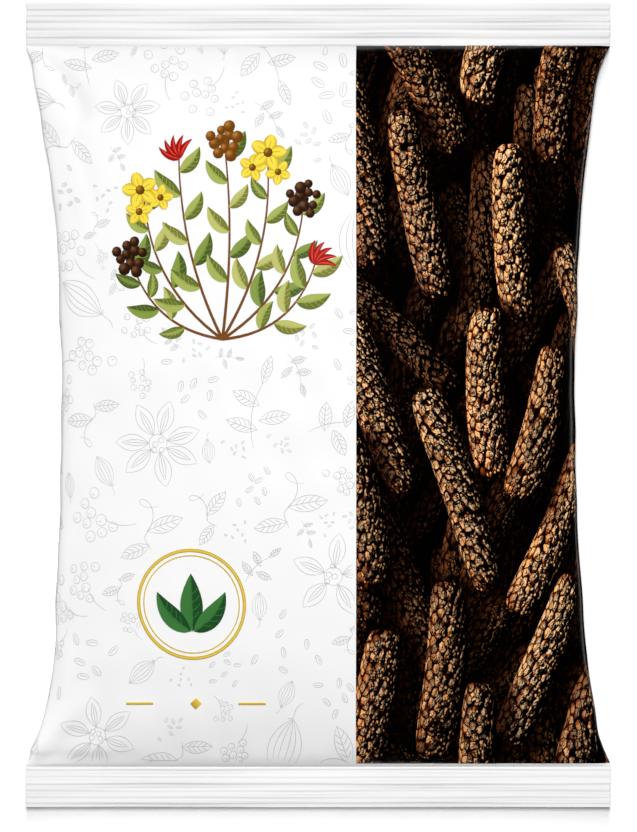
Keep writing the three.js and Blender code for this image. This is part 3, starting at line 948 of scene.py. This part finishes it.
# %% [markdown]
# ## The faint line pattern
# All over the white runs a pattern of plants and seeds, drawn in hair-fine pale grey lines: leaf
# sprays, blossoms, berries, ribbed pods, seeds and tendrils. Each kind of motif is one short recipe
# of strokes, and motifs are strewn over the web by lot, turned every way, and kept apart. A grid
# with a little chance in it is simpler to lay out, but the eye would find its rows.

# %% Strokes
LINE = 0.06  # half the width of a line, in millimetres
GREY = shade("#cacaca", "#cacaca")
print("lines are about", 2 * LINE, "mm wide")


def bowed(start, end, bulge, number=9):
    """A line from start to end that bows to one side by so much."""
    start, end = np.asarray(start, float), np.asarray(end, float)
    t = np.linspace(0, 1, number)[:, None]
    way = end - start
    return start + way * t + np.array([-way[1], way[0]]) * bulge * 4 * t * (1 - t)


def round_line(middle, across, up=None, turn=0.0, number=13):
    t = np.linspace(0, 2 * math.pi, number)
    x, y = across * np.cos(t), (across if up is None else up) * np.sin(t)
    c, s = math.cos(turn), math.sin(turn)
    return np.stack([middle[0] + x * c - y * s, middle[1] + x * s + y * c], axis=1)


def leaf_lines(base, tip, breadth):
    lines = [bowed(base, tip, breadth), bowed(base, tip, -breadth), bowed(base, tip, 0.02, 7)]
    base, tip = np.asarray(base, float), np.asarray(tip, float)
    way = tip - base
    side = np.array([-way[1], way[0]])
    for t in (0.2, 0.36, 0.52, 0.68):
        for hand in (-1, 1):
            out = base + way * (t + 0.16) + side * hand * breadth * 4 * (t + 0.1) * (0.9 - t) * 0.8
            lines.append(bowed(base + way * t, out, 0.08 * hand, 4))
    return lines


# %% A spray of leaves, about ten millimetres across
def leaf_spray(dice):
    lines = [bowed((-5, -4), (5, 3), 0.1)]
    leaves = (((-2, -2.2), (-4.6, 3.4)), ((-0.5, -1.2), (4.4, -4.8)), ((1.6, 0.6), (0.2, 6.2)),
              ((5, 3), (10, 5.4)))
    for base, tip in leaves:
        lines += leaf_lines(base, tip, dice.uniform(0.17, 0.24))
    return lines


# %% Blossoms and berries
def strewn(dice, number, spread, least):
    """Places about the middle, none nearer to another than the least distance."""
    places = []
    for _ in range(number * 14):
        place = dice.normal(0, spread, 2)
        if len(places) < number and all(np.hypot(*(place - other)) > least for other in places):
            places.append(place)
    return places


def blossom(dice):
    lines = []
    petals = int(dice.integers(5, 8))
    for k in range(petals):
        turn = 2 * math.pi * k / petals + dice.uniform(-0.12, 0.12)
        tip = (5.2 * math.cos(turn), 5.2 * math.sin(turn))
        base = (1.1 * math.cos(turn), 1.1 * math.sin(turn))
        lines += [bowed(base, tip, 0.24), bowed(base, tip, -0.24)]
        veins = ((0.84, 0.11), (0.76, 0.0), (0.84, -0.11))
        lines += [bowed(base, np.multiply(tip, reach), bulge, 6) for reach, bulge in veins]
    lines += [round_line(place, 0.33, number=9) for place in strewn(dice, 4, 0.5, 0.6)]
    return lines + [round_line((0, 0), 1.1)]


def berries(dice):
    lines = [bowed((-5, -6), (-1.4, -1.6), 0.12)]
    for middle in strewn(dice, 9, 1.6, 1.75):
        size = dice.uniform(0.8, 0.95)
        gleam = bowed(middle + (-0.4 * size, 0.2 * size), middle + (0.1 * size, 0.6 * size), -0.2, 4)
        lines += [round_line(middle, size, number=14), gleam]
    return lines


# %% Pods, seeds and tendrils
def ribbed_pod(dice):
    lines = [bowed((0, -5), (0, 4.4), 0.26, 13), bowed((0, -5), (0, 4.4), -0.26, 13)]
    lines += [bowed((0, -4.8), (0, 4.2), bulge, 11) for bulge in (-0.16, -0.06, 0.06, 0.16)]
    return lines + [bowed((-0.9, 4.2), (0, 5.0), -0.3, 5), bowed((0, 4.9), (0.8, 7.0), 0.15, 6)]


def seeds(dice):
    lines = []
    for middle in strewn(dice, 7, 3.2, 2.6):
        turn = dice.uniform(0, math.pi)
        lines.append(round_line(middle, 1.5, 0.7, turn, 14))
        way = np.array([math.cos(turn), math.sin(turn)])
        lines.append(bowed(middle - way * 1.1, middle + way * 1.1, 0.06, 5))
    return lines


def tendril(dice):
    t = np.linspace(0, 1, 26)
    turn = 2.6 * math.pi * t**1.5
    x = 9 * t - 4 - 2.0 * t * np.sin(turn)
    y = 2.2 * t * np.cos(turn) + 1.4 * np.sin(3 * t)
    leaves = leaf_lines((-3.2, 0.4), (-5.6, 5.0), 0.2) + leaf_lines((-1, 1), (1.6, -4.6), 0.2)
    return [np.stack([x, y], axis=1)] + leaves


# %% Which places of the web are taken
# The web is divided into cells half a millimetre wide. A cell is taken once a motif covers it.
CELL = 0.5
CELLS_FROM = np.array([-125.0, -84.0])
taken = np.zeros((500, 336), bool)
# The print in colour keeps its own places, as ovals: middle (s, y) and half axes in millimetres.
KEPT_FREE = [
    ((-20, 35.5), (24, 22.5)), ((-26.7, -41.4), (12, 12)),
    ((-38, -62.1), (4.5, 1.6)), ((-26, -62.1), (3, 2.4)), ((-14, -62.1), (4.5, 1.6)),
]
across_web, along_web = np.indices(taken.shape) * CELL + CELLS_FROM[:, None, None]
for (s, y), (half_s, half_y) in KEPT_FREE:
    taken |= ((across_web - s) / half_s) ** 2 + ((along_web - y) / half_y) ** 2 < 1
print("cells kept for the print in colour:", int(taken.sum()))


def cells_of(shape):
    """The cells that a motif covers: those under its lines, and those between them and its middle."""
    middle = (shape.min(0) + shape.max(0)) / 2
    shares = (0.2, 0.4, 0.6, 0.8, 1.0)
    covered = np.concatenate([middle + (shape - middle) * share for share in shares])
    cell = ((covered - CELLS_FROM) / CELL).astype(int)
    return np.clip(cell[:, 0], 2, taken.shape[0] - 3), np.clip(cell[:, 1], 2, taken.shape[1] - 3)


# %% Strewing the motifs over the white
SEAM_AT, MIDDLES_OUT_TO = 116, (112, 76)
line_dice = np.random.default_rng(5)
recipes = [leaf_spray, blossom, berries, ribbed_pod, seeds, tendril]
pattern = new_sheet(0.0)


def motif_of_size_one(recipe):
    """A motif's strokes, moved to its middle and scaled until they reach one millimetre from it."""
    strokes = recipe(line_dice)
    ends = np.concatenate(strokes)
    middle = (ends.min(0) + ends.max(0)) / 2
    reach = np.hypot(*(ends - middle).T).max()
    return [(stroke - middle) / reach for stroke in strokes]


def draw_motif(strokes, reach):
    """Strokes stop at the panel, at the seals and at the back seam."""
    for at in strokes:
        inside = (np.abs(at[:, 1]) < BODY_HALF - 0.3) & (np.abs(at[:, 0]) < SEAM_AT)
        inside &= (at[:, 0] < PANEL_LEFT - 0.2) | (at[:, 0] > PANEL_RIGHT + 0.3)
        for number, run in enumerate(np.split(at, np.flatnonzero(~inside))):
            # Every run but the first starts with a point that lies outside.
            keep = run if number == 0 else run[1:]
            if len(keep) > 2:
                swell = 0.7 + 0.6 * np.sin(np.linspace(0, math.pi, len(keep)))
                strip(pattern, keep, LINE * swell * min(1, 0.1 + 0.16 * reach), GREY)


# %% Large motifs first, then smaller ones in the room they leave
# Six of each kind are drawn.
motifs = [motif_of_size_one(recipe) for recipe in recipes for _ in range(6)]
placed = 0
for tries, least, most in ((1500, 6.8, 9.8), (5000, 4.4, 6.2), (16000, 2.9, 4.1)):
    for _ in range(tries):
        middle = line_dice.uniform(np.negative(MIDDLES_OUT_TO), MIDDLES_OUT_TO)
        turn, reach = line_dice.uniform(0, 2 * math.pi), line_dice.uniform(least, most)
        c, s = math.cos(turn) * reach, math.sin(turn) * reach
        motif = motifs[line_dice.integers(len(motifs))]
        strokes = [stroke @ np.array([[c, s], [-s, c]]) + middle for stroke in motif]
        column, row = cells_of(np.concatenate(strokes))
        in_white = middle[0] < PANEL_LEFT + 1 or middle[0] > PANEL_RIGHT + 2
        if in_white and not taken[column, row].any():
            # Two cells round about are taken too, so that motifs keep a millimetre apart.
            for step_s in range(-2, 3):
                for step_y in range(-2, 3):
                    taken[column + step_s, row + step_y] = True
            draw_motif(strokes, reach)
            placed += 1
line_pattern = printed_piece(pattern, "printed_line_pattern", 0.08, printing_ink)
print("motifs:", placed)

# %% [markdown]
# ## The print in colour
# The white carries a few small prints in colour: above, a plain spray of leaves, berries and
# blossoms; below, a plain gold ring with three leaves in it; and near the bottom two gold rules with
# a small diamond between them. All are flat ink, with two or three shades across each leaf and
# berry, as a drawing has. One plain colour to a leaf would print as well, but looks cut from paper.

# %% A leaf in colour
def leaf(sheet, base, tip, breadth, dark, light, bend=0.08):
    middle = bowed(base, tip, bend, 15)
    t = np.linspace(0, 1, 15)
    length = np.hypot(*np.subtract(tip, base))
    half = length * breadth * np.sin(math.pi * t**0.8) ** 0.9
    # A small leaf is light along its middle, a large one over one half.
    small = length < 6
    across = (dark, dark, light, dark, dark) if small else (dark, dark, dark, light, light, light)
    strip(sheet, middle, half, shade(*across))
    strip(sheet, middle[:-1], np.linspace(0.012, 0.004, 14) * length, shade(light, light))
    for k in (3, 5, 7, 9):
        way = (middle[k + 1] - middle[k]) * 1.7
        aside = np.array([-way[1], way[0]]) / np.linalg.norm(way) * half[k] * 0.75
        for hand in (-1, 1):
            vein = bowed(middle[k], middle[k] + way + aside * hand, 0.1 * hand, 4)
            strip(sheet, vein, 0.006 * length, shade(light, light))


# %% A berry and a stem
def berry(sheet, middle, size, dark, light):
    t = np.linspace(-1, 1, 11)
    line = np.stack([middle[0] + t * size, np.full(11, middle[1])], axis=1)
    across = np.linspace(-1, 1, 7)
    round_part = np.sqrt(np.clip(1 - t**2, 0, 1))
    near = np.exp(-(((t[:, None] + 0.35) ** 2 + (across[None] * round_part[:, None] - 0.4) ** 2) / 0.22))
    low, high = np.array(linear(dark)), np.array(linear(light))
    strip(sheet, line, size * round_part + 1e-4, low + (high - low) * near[..., None])


def stem(sheet, start, end, bulge, width, code):
    strip(sheet, bowed(start, end, bulge, 16), np.linspace(width, width * 0.45, 16), shade(code, code))


# %% A blossom and a pod
def blossom_in_colour(sheet, middle, size, dark, light, turn):
    for k in range(5):
        heading = turn + 2 * math.pi * k / 5
        way = np.array([math.cos(heading), math.sin(heading)])
        petal = bowed(middle + way * size * 0.12, middle + way * size, 0.0, 11)
        t = np.linspace(0, 1, 11)
        half = size * 0.36 * np.sin(math.pi * np.clip(t * 0.92 + 0.04, 0, 1)) ** 0.7
        strip(sheet, petal, half, shade(dark, light, light, light, dark))
        strip(sheet, petal[1:7], size * 0.02, shade(dark, dark))
    berry(sheet, middle, size * 0.26, "#6b4410", "#c08a2a")


def pod(sheet, base, tip, breadth, dark, light):
    middle = bowed(base, tip, 0.12, 15)
    t = np.linspace(0, 1, 15)
    half = np.hypot(*np.subtract(tip, base)) * breadth * np.sin(math.pi * t**0.7) ** 0.75
    strip(sheet, middle, half, shade(dark, dark, light, dark, dark, dark))


# %% The spray's branches
GOLD, PALE_GOLD = "#c39a1f", "#ecd057"
colour_print = new_sheet(0.0003)
spray_dice = np.random.default_rng(31)
foot = np.array([-20.0, 13.5])
DARK_BERRY, BROWN_BERRY = ("#2c170d", "#7a4f31"), ("#70400f", "#bd7f38")
RED, YELLOW = ("#a01510", "#ef4d3b"), ("#cfa514", "#f6e04c")
# Each branch: where it ends, its bow, and what grows at its end.
BRANCHES = [
    ((-39.5, 30.5), 0.16, "berries", DARK_BERRY), ((-36.5, 43.5), 0.12, "blossom", YELLOW),
    ((-29.0, 51.5), 0.06, "pods", RED), ((-19.5, 54.5), -0.03, "berries", BROWN_BERRY),
    ((-10.5, 51.0), -0.08, "blossom", YELLOW), ((-3.0, 42.5), -0.13, "berries", DARK_BERRY),
    ((-0.5, 29.5), -0.17, "pods", RED),
]
GREENS = [("#4d6026", "#879c47"), ("#66732c", "#a9b45c"), ("#7b7f35", "#bfc26f")]
for end, bulge, _, _ in BRANCHES:
    stem(colour_print, foot, end, bulge, 0.32, "#7a4a1e")
    path = bowed(foot, end, bulge, 25)
    for k in range(7, 23, 3):
        hand = 1 if k % 2 else -1
        way = (path[k + 1] - path[k]) / np.linalg.norm(path[k + 1] - path[k])
        out = way * 5.0 + np.array([-way[1], way[0]]) * hand * 4.2
        green = GREENS[spray_dice.integers(3)]
        tip = path[k] + out * spray_dice.uniform(0.85, 1.2)
        leaf(colour_print, path[k], tip, 0.21, *green, bend=0.1 * hand)
print("branches and leaves have", colour_print["strips"], "strips")

# %% What grows at the branches' ends
for end, _, kind, tones in BRANCHES:
    way = np.subtract(end, foot) / np.hypot(*np.subtract(end, foot))
    side = np.array([-way[1], way[0]])
    if kind == "blossom":
        for along_way, across_way, size in ((-2.6, 2.6, 2.9), (-2.2, -2.8, 2.7), (1.2, 0.2, 3.8)):
            middle = end + way * along_way + side * across_way
            blossom_in_colour(colour_print, middle, size, *tones, spray_dice.uniform(0, 6))
    elif kind == "pods":
        for lean in (-0.9, -0.45, 0.0, 0.45, 0.9):
            tip = end + 4.6 * (way * math.cos(lean) + side * math.sin(lean))
            pod(colour_print, end - way * 0.6, tip, 0.13, *tones)
    else:
        for k in range(12):
            turn, reach = 2.4 * k, 1.02 * math.sqrt(k)
            place_on = np.add(end, (reach * math.cos(turn), reach * math.sin(turn)))
            berry(colour_print, place_on, spray_dice.uniform(0.9, 1.3), *tones)
print("with what grows on them", colour_print["strips"])

# %% The ring with its leaves, the rules and the diamond
RING, RULES_AT = np.array([-26.7, -41.4]), -62.1
for radius, width in ((11.2, 0.34), (10.1, 0.12)):
    strip(colour_print, round_line(RING, radius, number=97), width, shade(GOLD, PALE_GOLD, GOLD))
for foot_s, tip_place, breadth, bend in ((0, (0, 6.4), 0.2, 0.0), (-0.3, (-7.2, 2.6), 0.19, 0.1),
                                         (0.3, (7.2, 2.6), 0.19, -0.1)):
    leaf(colour_print, RING + (foot_s, -5.6), RING + tip_place, breadth, "#1f4d26", "#3f7a3c", bend)
for start, end in ((-40.9, -35.1), (-16.9, -11.1)):
    rule = bowed((start, RULES_AT), (end, RULES_AT), 0.0)
    strip(colour_print, rule, 0.24, shade(GOLD, PALE_GOLD))
diamond = bowed((-27.2, RULES_AT), (-24.8, RULES_AT), 0.0, 3)
strip(colour_print, diamond, [0.02, 1.2, 0.02], shade(GOLD, PALE_GOLD))
colour_piece = printed_piece(colour_print, "printed_colour_motifs", 0.1, printing_ink)

# %% [markdown]
# ## The filling
# The pouch holds loose dried spikes. Each is modelled as the real one: a blunt, slightly bent rod
# set with fruitlets. One is made from a cylinder, cut along its length and rounded at its ends, and
# its grains are raised by a cell pattern. It is then copied on to each of the solid's spikes, whose
# middle, direction and thickness are measured from the solid itself. New ones could be dropped in by
# a physics simulation, but then they would lie elsewhere than the solid's.

# %% One dried spike, lying along Y
deselect()
bpy.ops.mesh.primitive_cylinder_add(vertices=44, radius=1, depth=2, rotation=(math.pi / 2, 0, 0))
spike_model = bpy.context.object
bpy.ops.object.transform_apply(location=True, rotation=True, scale=True)
cut_edges(spike_model, 1, 54)
bpy.ops.object.mode_set(mode="EDIT")
bpy.ops.mesh.select_mode(type="FACE")
bpy.ops.mesh.select_all(action="DESELECT")
bpy.ops.object.mode_set(mode="OBJECT")
for face in spike_model.data.polygons:
    face.select = abs(face.normal.y) > 0.9
bpy.ops.object.mode_set(mode="EDIT")
bpy.ops.mesh.inset(thickness=0.45)
bpy.ops.mesh.poke()
bpy.ops.object.mode_set(mode="OBJECT")
model = np.array([v.co for v in spike_model.data.vertices])
print("model spike has", len(model), "points")


# %% Grains in rows
GRAIN_ROUND, GRAIN_ALONG, GRAIN_HEIGHT = 1.15, 1.35, 0.45
KEPT_IN, ROUNDNESS, THINNER = 0.985, 5, 0.06


def grains(u, arc, seed):
    """Heights from 0 to 1 of fruitlets in slanting rows, at places along and round in millimetres."""
    row = arc / GRAIN_ROUND
    shift = u / GRAIN_ALONG + 0.5 * np.floor(row) + 0.25 * np.sin(1.7 * np.floor(row) + seed)
    a, b = (row - np.floor(row) - 0.5) * 2, (shift - np.floor(shift) - 0.5) * 2
    return np.clip(1 - 0.9 * a**2 - 0.9 * b**2, 0, 1) ** 0.6


crest_and_rim = grains(GRAIN_ALONG / 2, np.array([0.5, 0.0]) * GRAIN_ROUND, 0)
print("height on a crest and at its rim:", crest_and_rim.round(2).tolist())

# %% Copies on the solid's spikes
filling = []
fill_dice = np.random.default_rng(3)
for name in sorted(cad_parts):
    if not name.startswith("spike_"):
        continue
    solid = np.array([v.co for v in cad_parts[name].data.vertices]) / MM
    middle = solid.mean(axis=0)
    axes = np.linalg.svd(solid - middle, full_matrices=False)[2]
    local = (solid - middle) @ axes.T
    half = np.abs(local[:, 0]).max()
    body = local[np.abs(local[:, 0]) < half * 0.6]
    radius = np.hypot(body[:, 1], body[:, 2]).max() - 0.75
    end = (1 - np.abs(model[:, 1] * KEPT_IN) ** ROUNDNESS) ** (1 / ROUNDNESS)
    angle = np.arctan2(model[:, 2], model[:, 0])
    u = model[:, 1] * half * KEPT_IN
    out = np.hypot(model[:, 0], model[:, 2]) * radius * end * (1 - THINNER * model[:, 1])
    height = grains(u + 40, (angle + math.pi) * radius, fill_dice.uniform(0, 9))
    out += GRAIN_HEIGHT * (height - 0.5) * np.clip(out / radius, 0, 1)
    dimple = np.exp(-((out / (0.3 * radius)) ** 2)) * 0.8 * (model[:, 1] < -0.9)
    shaped = np.stack([u + dimple, out * np.cos(angle), out * np.sin(angle)], axis=1) @ axes + middle
    piece = spike_model.copy()
    piece.data = spike_model.data.copy()
    piece.name = piece.data.name = name + "_dried"
    bpy.context.collection.objects.link(piece)
    piece.data.vertices.foreach_set("co", (shaped * MM).ravel())
    filling.append((piece, name))
bpy.data.objects.remove(spike_model)
print("spikes inside:", len(filling))

# %% Faces turned outwards, and smoothed
deselect()
for piece, _ in filling:
    piece.select_set(True)
bpy.context.view_layer.objects.active = filling[0][0]
bpy.ops.object.mode_set(mode="EDIT")
bpy.ops.mesh.select_all(action="SELECT")
bpy.ops.mesh.normals_make_consistent(inside=False)
bpy.ops.object.mode_set(mode="OBJECT")
bpy.ops.object.shade_smooth_by_angle(angle=math.radians(50))
print("they have", sum(len(piece.data.polygons) for piece, _ in filling), "faces")

# %% [markdown]
# Dried long pepper is brown to grey-brown, dull and rough. A cell pattern about as fine as its
# fruitlets is tan at the middle of each cell and almost black at its edges, and a second look at it
# gives each cell a tone of its own. The spikes are never seen, so nothing finer is needed.

# %% Dried long pepper
dried_spike, tree = finish_named("dried_long_pepper")
place = put(tree, "TexCoord", out="Object")
cells = put(tree, "TexVoronoi", {"Vector": place, "Scale": 1 / 0.0013}, out="Distance")
cell_tint = put(tree, "TexVoronoi", {"Vector": place, "Scale": 1 / 0.0013}, out="Color")
patches = put(tree, "TexNoise", {"Vector": place, "Scale": 1 / 0.006, "Detail": 3.0})
blend = put(tree, "Math", {0: cells, 1: -0.9, 2: patches}, operation="MULTIPLY_ADD")
brown = put(tree, "ValToRGB", {"Fac": put(tree, "Math", {0: blend, 1: 0.35}, operation="ADD")})
set_stops(brown, ((0.0, "#1d0f08"), (1.0, "#8d5f38")))
tinted = put(tree, "Mix", {0: 0.25, 6: brown, 7: cell_tint}, out=2, data_type="RGBA",
             blend_type="SOFT_LIGHT")
dust = put(tree, "TexNoise", {"Vector": place, "Scale": 1 / 0.0002, "Detail": 2.0})
grit = put(tree, "Bump", {"Height": dust, "Distance": 0.00008, "Strength": 0.6})
shader = put(tree, "BsdfPrincipled", {"Base Color": tinted, "Roughness": 0.82, "Normal": grit})
put(tree, "OutputMaterial", {"Surface": shader}, out=None)
for piece, _ in filling:
    piece.data.materials.append(dried_spike)
print("spike's finish has", len(tree.nodes), "nodes")

# %% [markdown]
# ## Floor and light
# A plain pale floor. The main light is a broad soft one above the camera, a little towards the
# pouch's top end, so that the bottom seal throws a thin soft shadow. Only strips at the sides are
# seen in the gloss, which keeps the dark panel black and draws a line of light down its edge. One
# big lamp could light all, but it would lie as a grey haze on the dark panel's gloss.

# %% Pale studio paper
floor_finish, tree = finish_named("pale_studio_paper")
speck = put(tree, "TexNoise", {"Vector": put(tree, "TexCoord", out="Object"), "Scale": 40.0})
pale = put(tree, "ValToRGB", {"Fac": speck})
set_stops(pale, ((0.0, "#fafafa"), (1.0, "#fefefe")))
shader = put(tree, "BsdfPrincipled", {"Base Color": pale, "Roughness": 0.9})
put(tree, "OutputMaterial", {"Surface": shader}, out=None)
print("paper's finish has", len(tree.nodes), "nodes")

# %% Floor
deselect()
bpy.ops.mesh.primitive_plane_add(size=12)
floor = bpy.context.object
floor.name = "floor"
floor.data.materials.append(floor_finish)
print("floor is", round(floor.dimensions.x), "m wide")


# %% A softbox
def softbox(name, place, size, watts, glossy, diffuse):
    data = bpy.data.lights.new(name, "AREA")
    data.shape, data.size, data.size_y, data.energy = "RECTANGLE", size[0], size[1], watts
    lamp = bpy.data.objects.new(name, data)
    lamp.location = place
    aim = np.array(place) - (0, 0, SEAL_PLANE * MM)
    lamp.rotation_mode = "QUATERNION"
    lamp.rotation_quaternion = Vector(aim).to_track_quat("Z", "Y")
    lamp.visible_glossy, lamp.visible_diffuse = glossy, diffuse
    bpy.context.collection.objects.link(lamp)
    return lamp


# %% What the lights may reach
outside = (film, fin, panel_print, line_pattern, colour_piece)
pouch_only = bpy.data.collections.new("pouch_only")
for piece in outside:
    pouch_only.objects.link(piece)
floor_only = bpy.data.collections.new("floor_only")
floor_only.objects.link(floor)

# %% Lights
# The pouch and the floor have lights of their own, as a retoucher would set them. The pouch has a
# broad one and, low at its sides, two weak ones for the light that a pale table throws back. On the
# floor one beside the camera throws no shadow that the camera sees, one draws the dark line under the
# bottom seal, and two longer ones the soft shade beyond it. They are narrow from side to side, so
# nothing shades the floor at the pouch's sides.
# Each has a name, a place and a size in metres, watts, and what it lights.
for name, place, size, watts, receivers in (
    ("key", (0.14, 0.29, 1.5), (0.6, 0.6), 24.7, pouch_only),
    ("fill_left", (-1.2, 0.0, -0.25), (0.4, 0.6), 6.0, pouch_only),
    ("fill_right", (1.2, 0.0, -0.25), (0.4, 0.6), 1.6, pouch_only),
    ("floor_even", (0.0, -0.0024, 2.0), (0.02, 0.02), 3.4, floor_only),
    ("floor_line", (0.0, 0.08, 2.0), (0.06, 0.12), 20.5, floor_only),
    ("floor_middle", (0.0, 0.249, 2.0), (0.08, 0.4), 6.0, floor_only),
    ("floor_broad", (0.0, 0.4625, 2.0), (0.12, 0.93), 11.8, floor_only),
):
    lamp = softbox(name, place, size, watts, False, True)
    lamp.light_linking.receiver_collection = receivers
for side in (-1, 1):
    # The strip stands for the pale table seen in the gloss near the pouch's edge. It is below the
    # floor, which neither shows in the gloss nor keeps the strip's light off.
    softbox("edge_strip", (side * 0.8, -0.15, -0.62), (1.2, 0.16), 0.5, True, False)
floor.visible_glossy = False
floor.visible_shadow = False
print("lights:", len(bpy.data.lights))

# %% The room's own faint light
world = bpy.data.worlds.new("studio")
world.use_nodes = True
world.node_tree.nodes["Background"].inputs["Color"].default_value = (1, 1, 1, 1)
world.node_tree.nodes["Background"].inputs["Strength"].default_value = 0.08
bpy.context.scene.world = world
world.cycles_visibility.glossy = False
bpy.context.scene.view_settings.view_transform = "Standard"
print("view transform:", bpy.context.scene.view_settings.view_transform)

# %% Riding on the root, in place of the solid's parts
for piece in outside:
    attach(piece, "root")
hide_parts("pouch_film")
for piece, name in filling:
    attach(piece, "root")
    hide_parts(name)
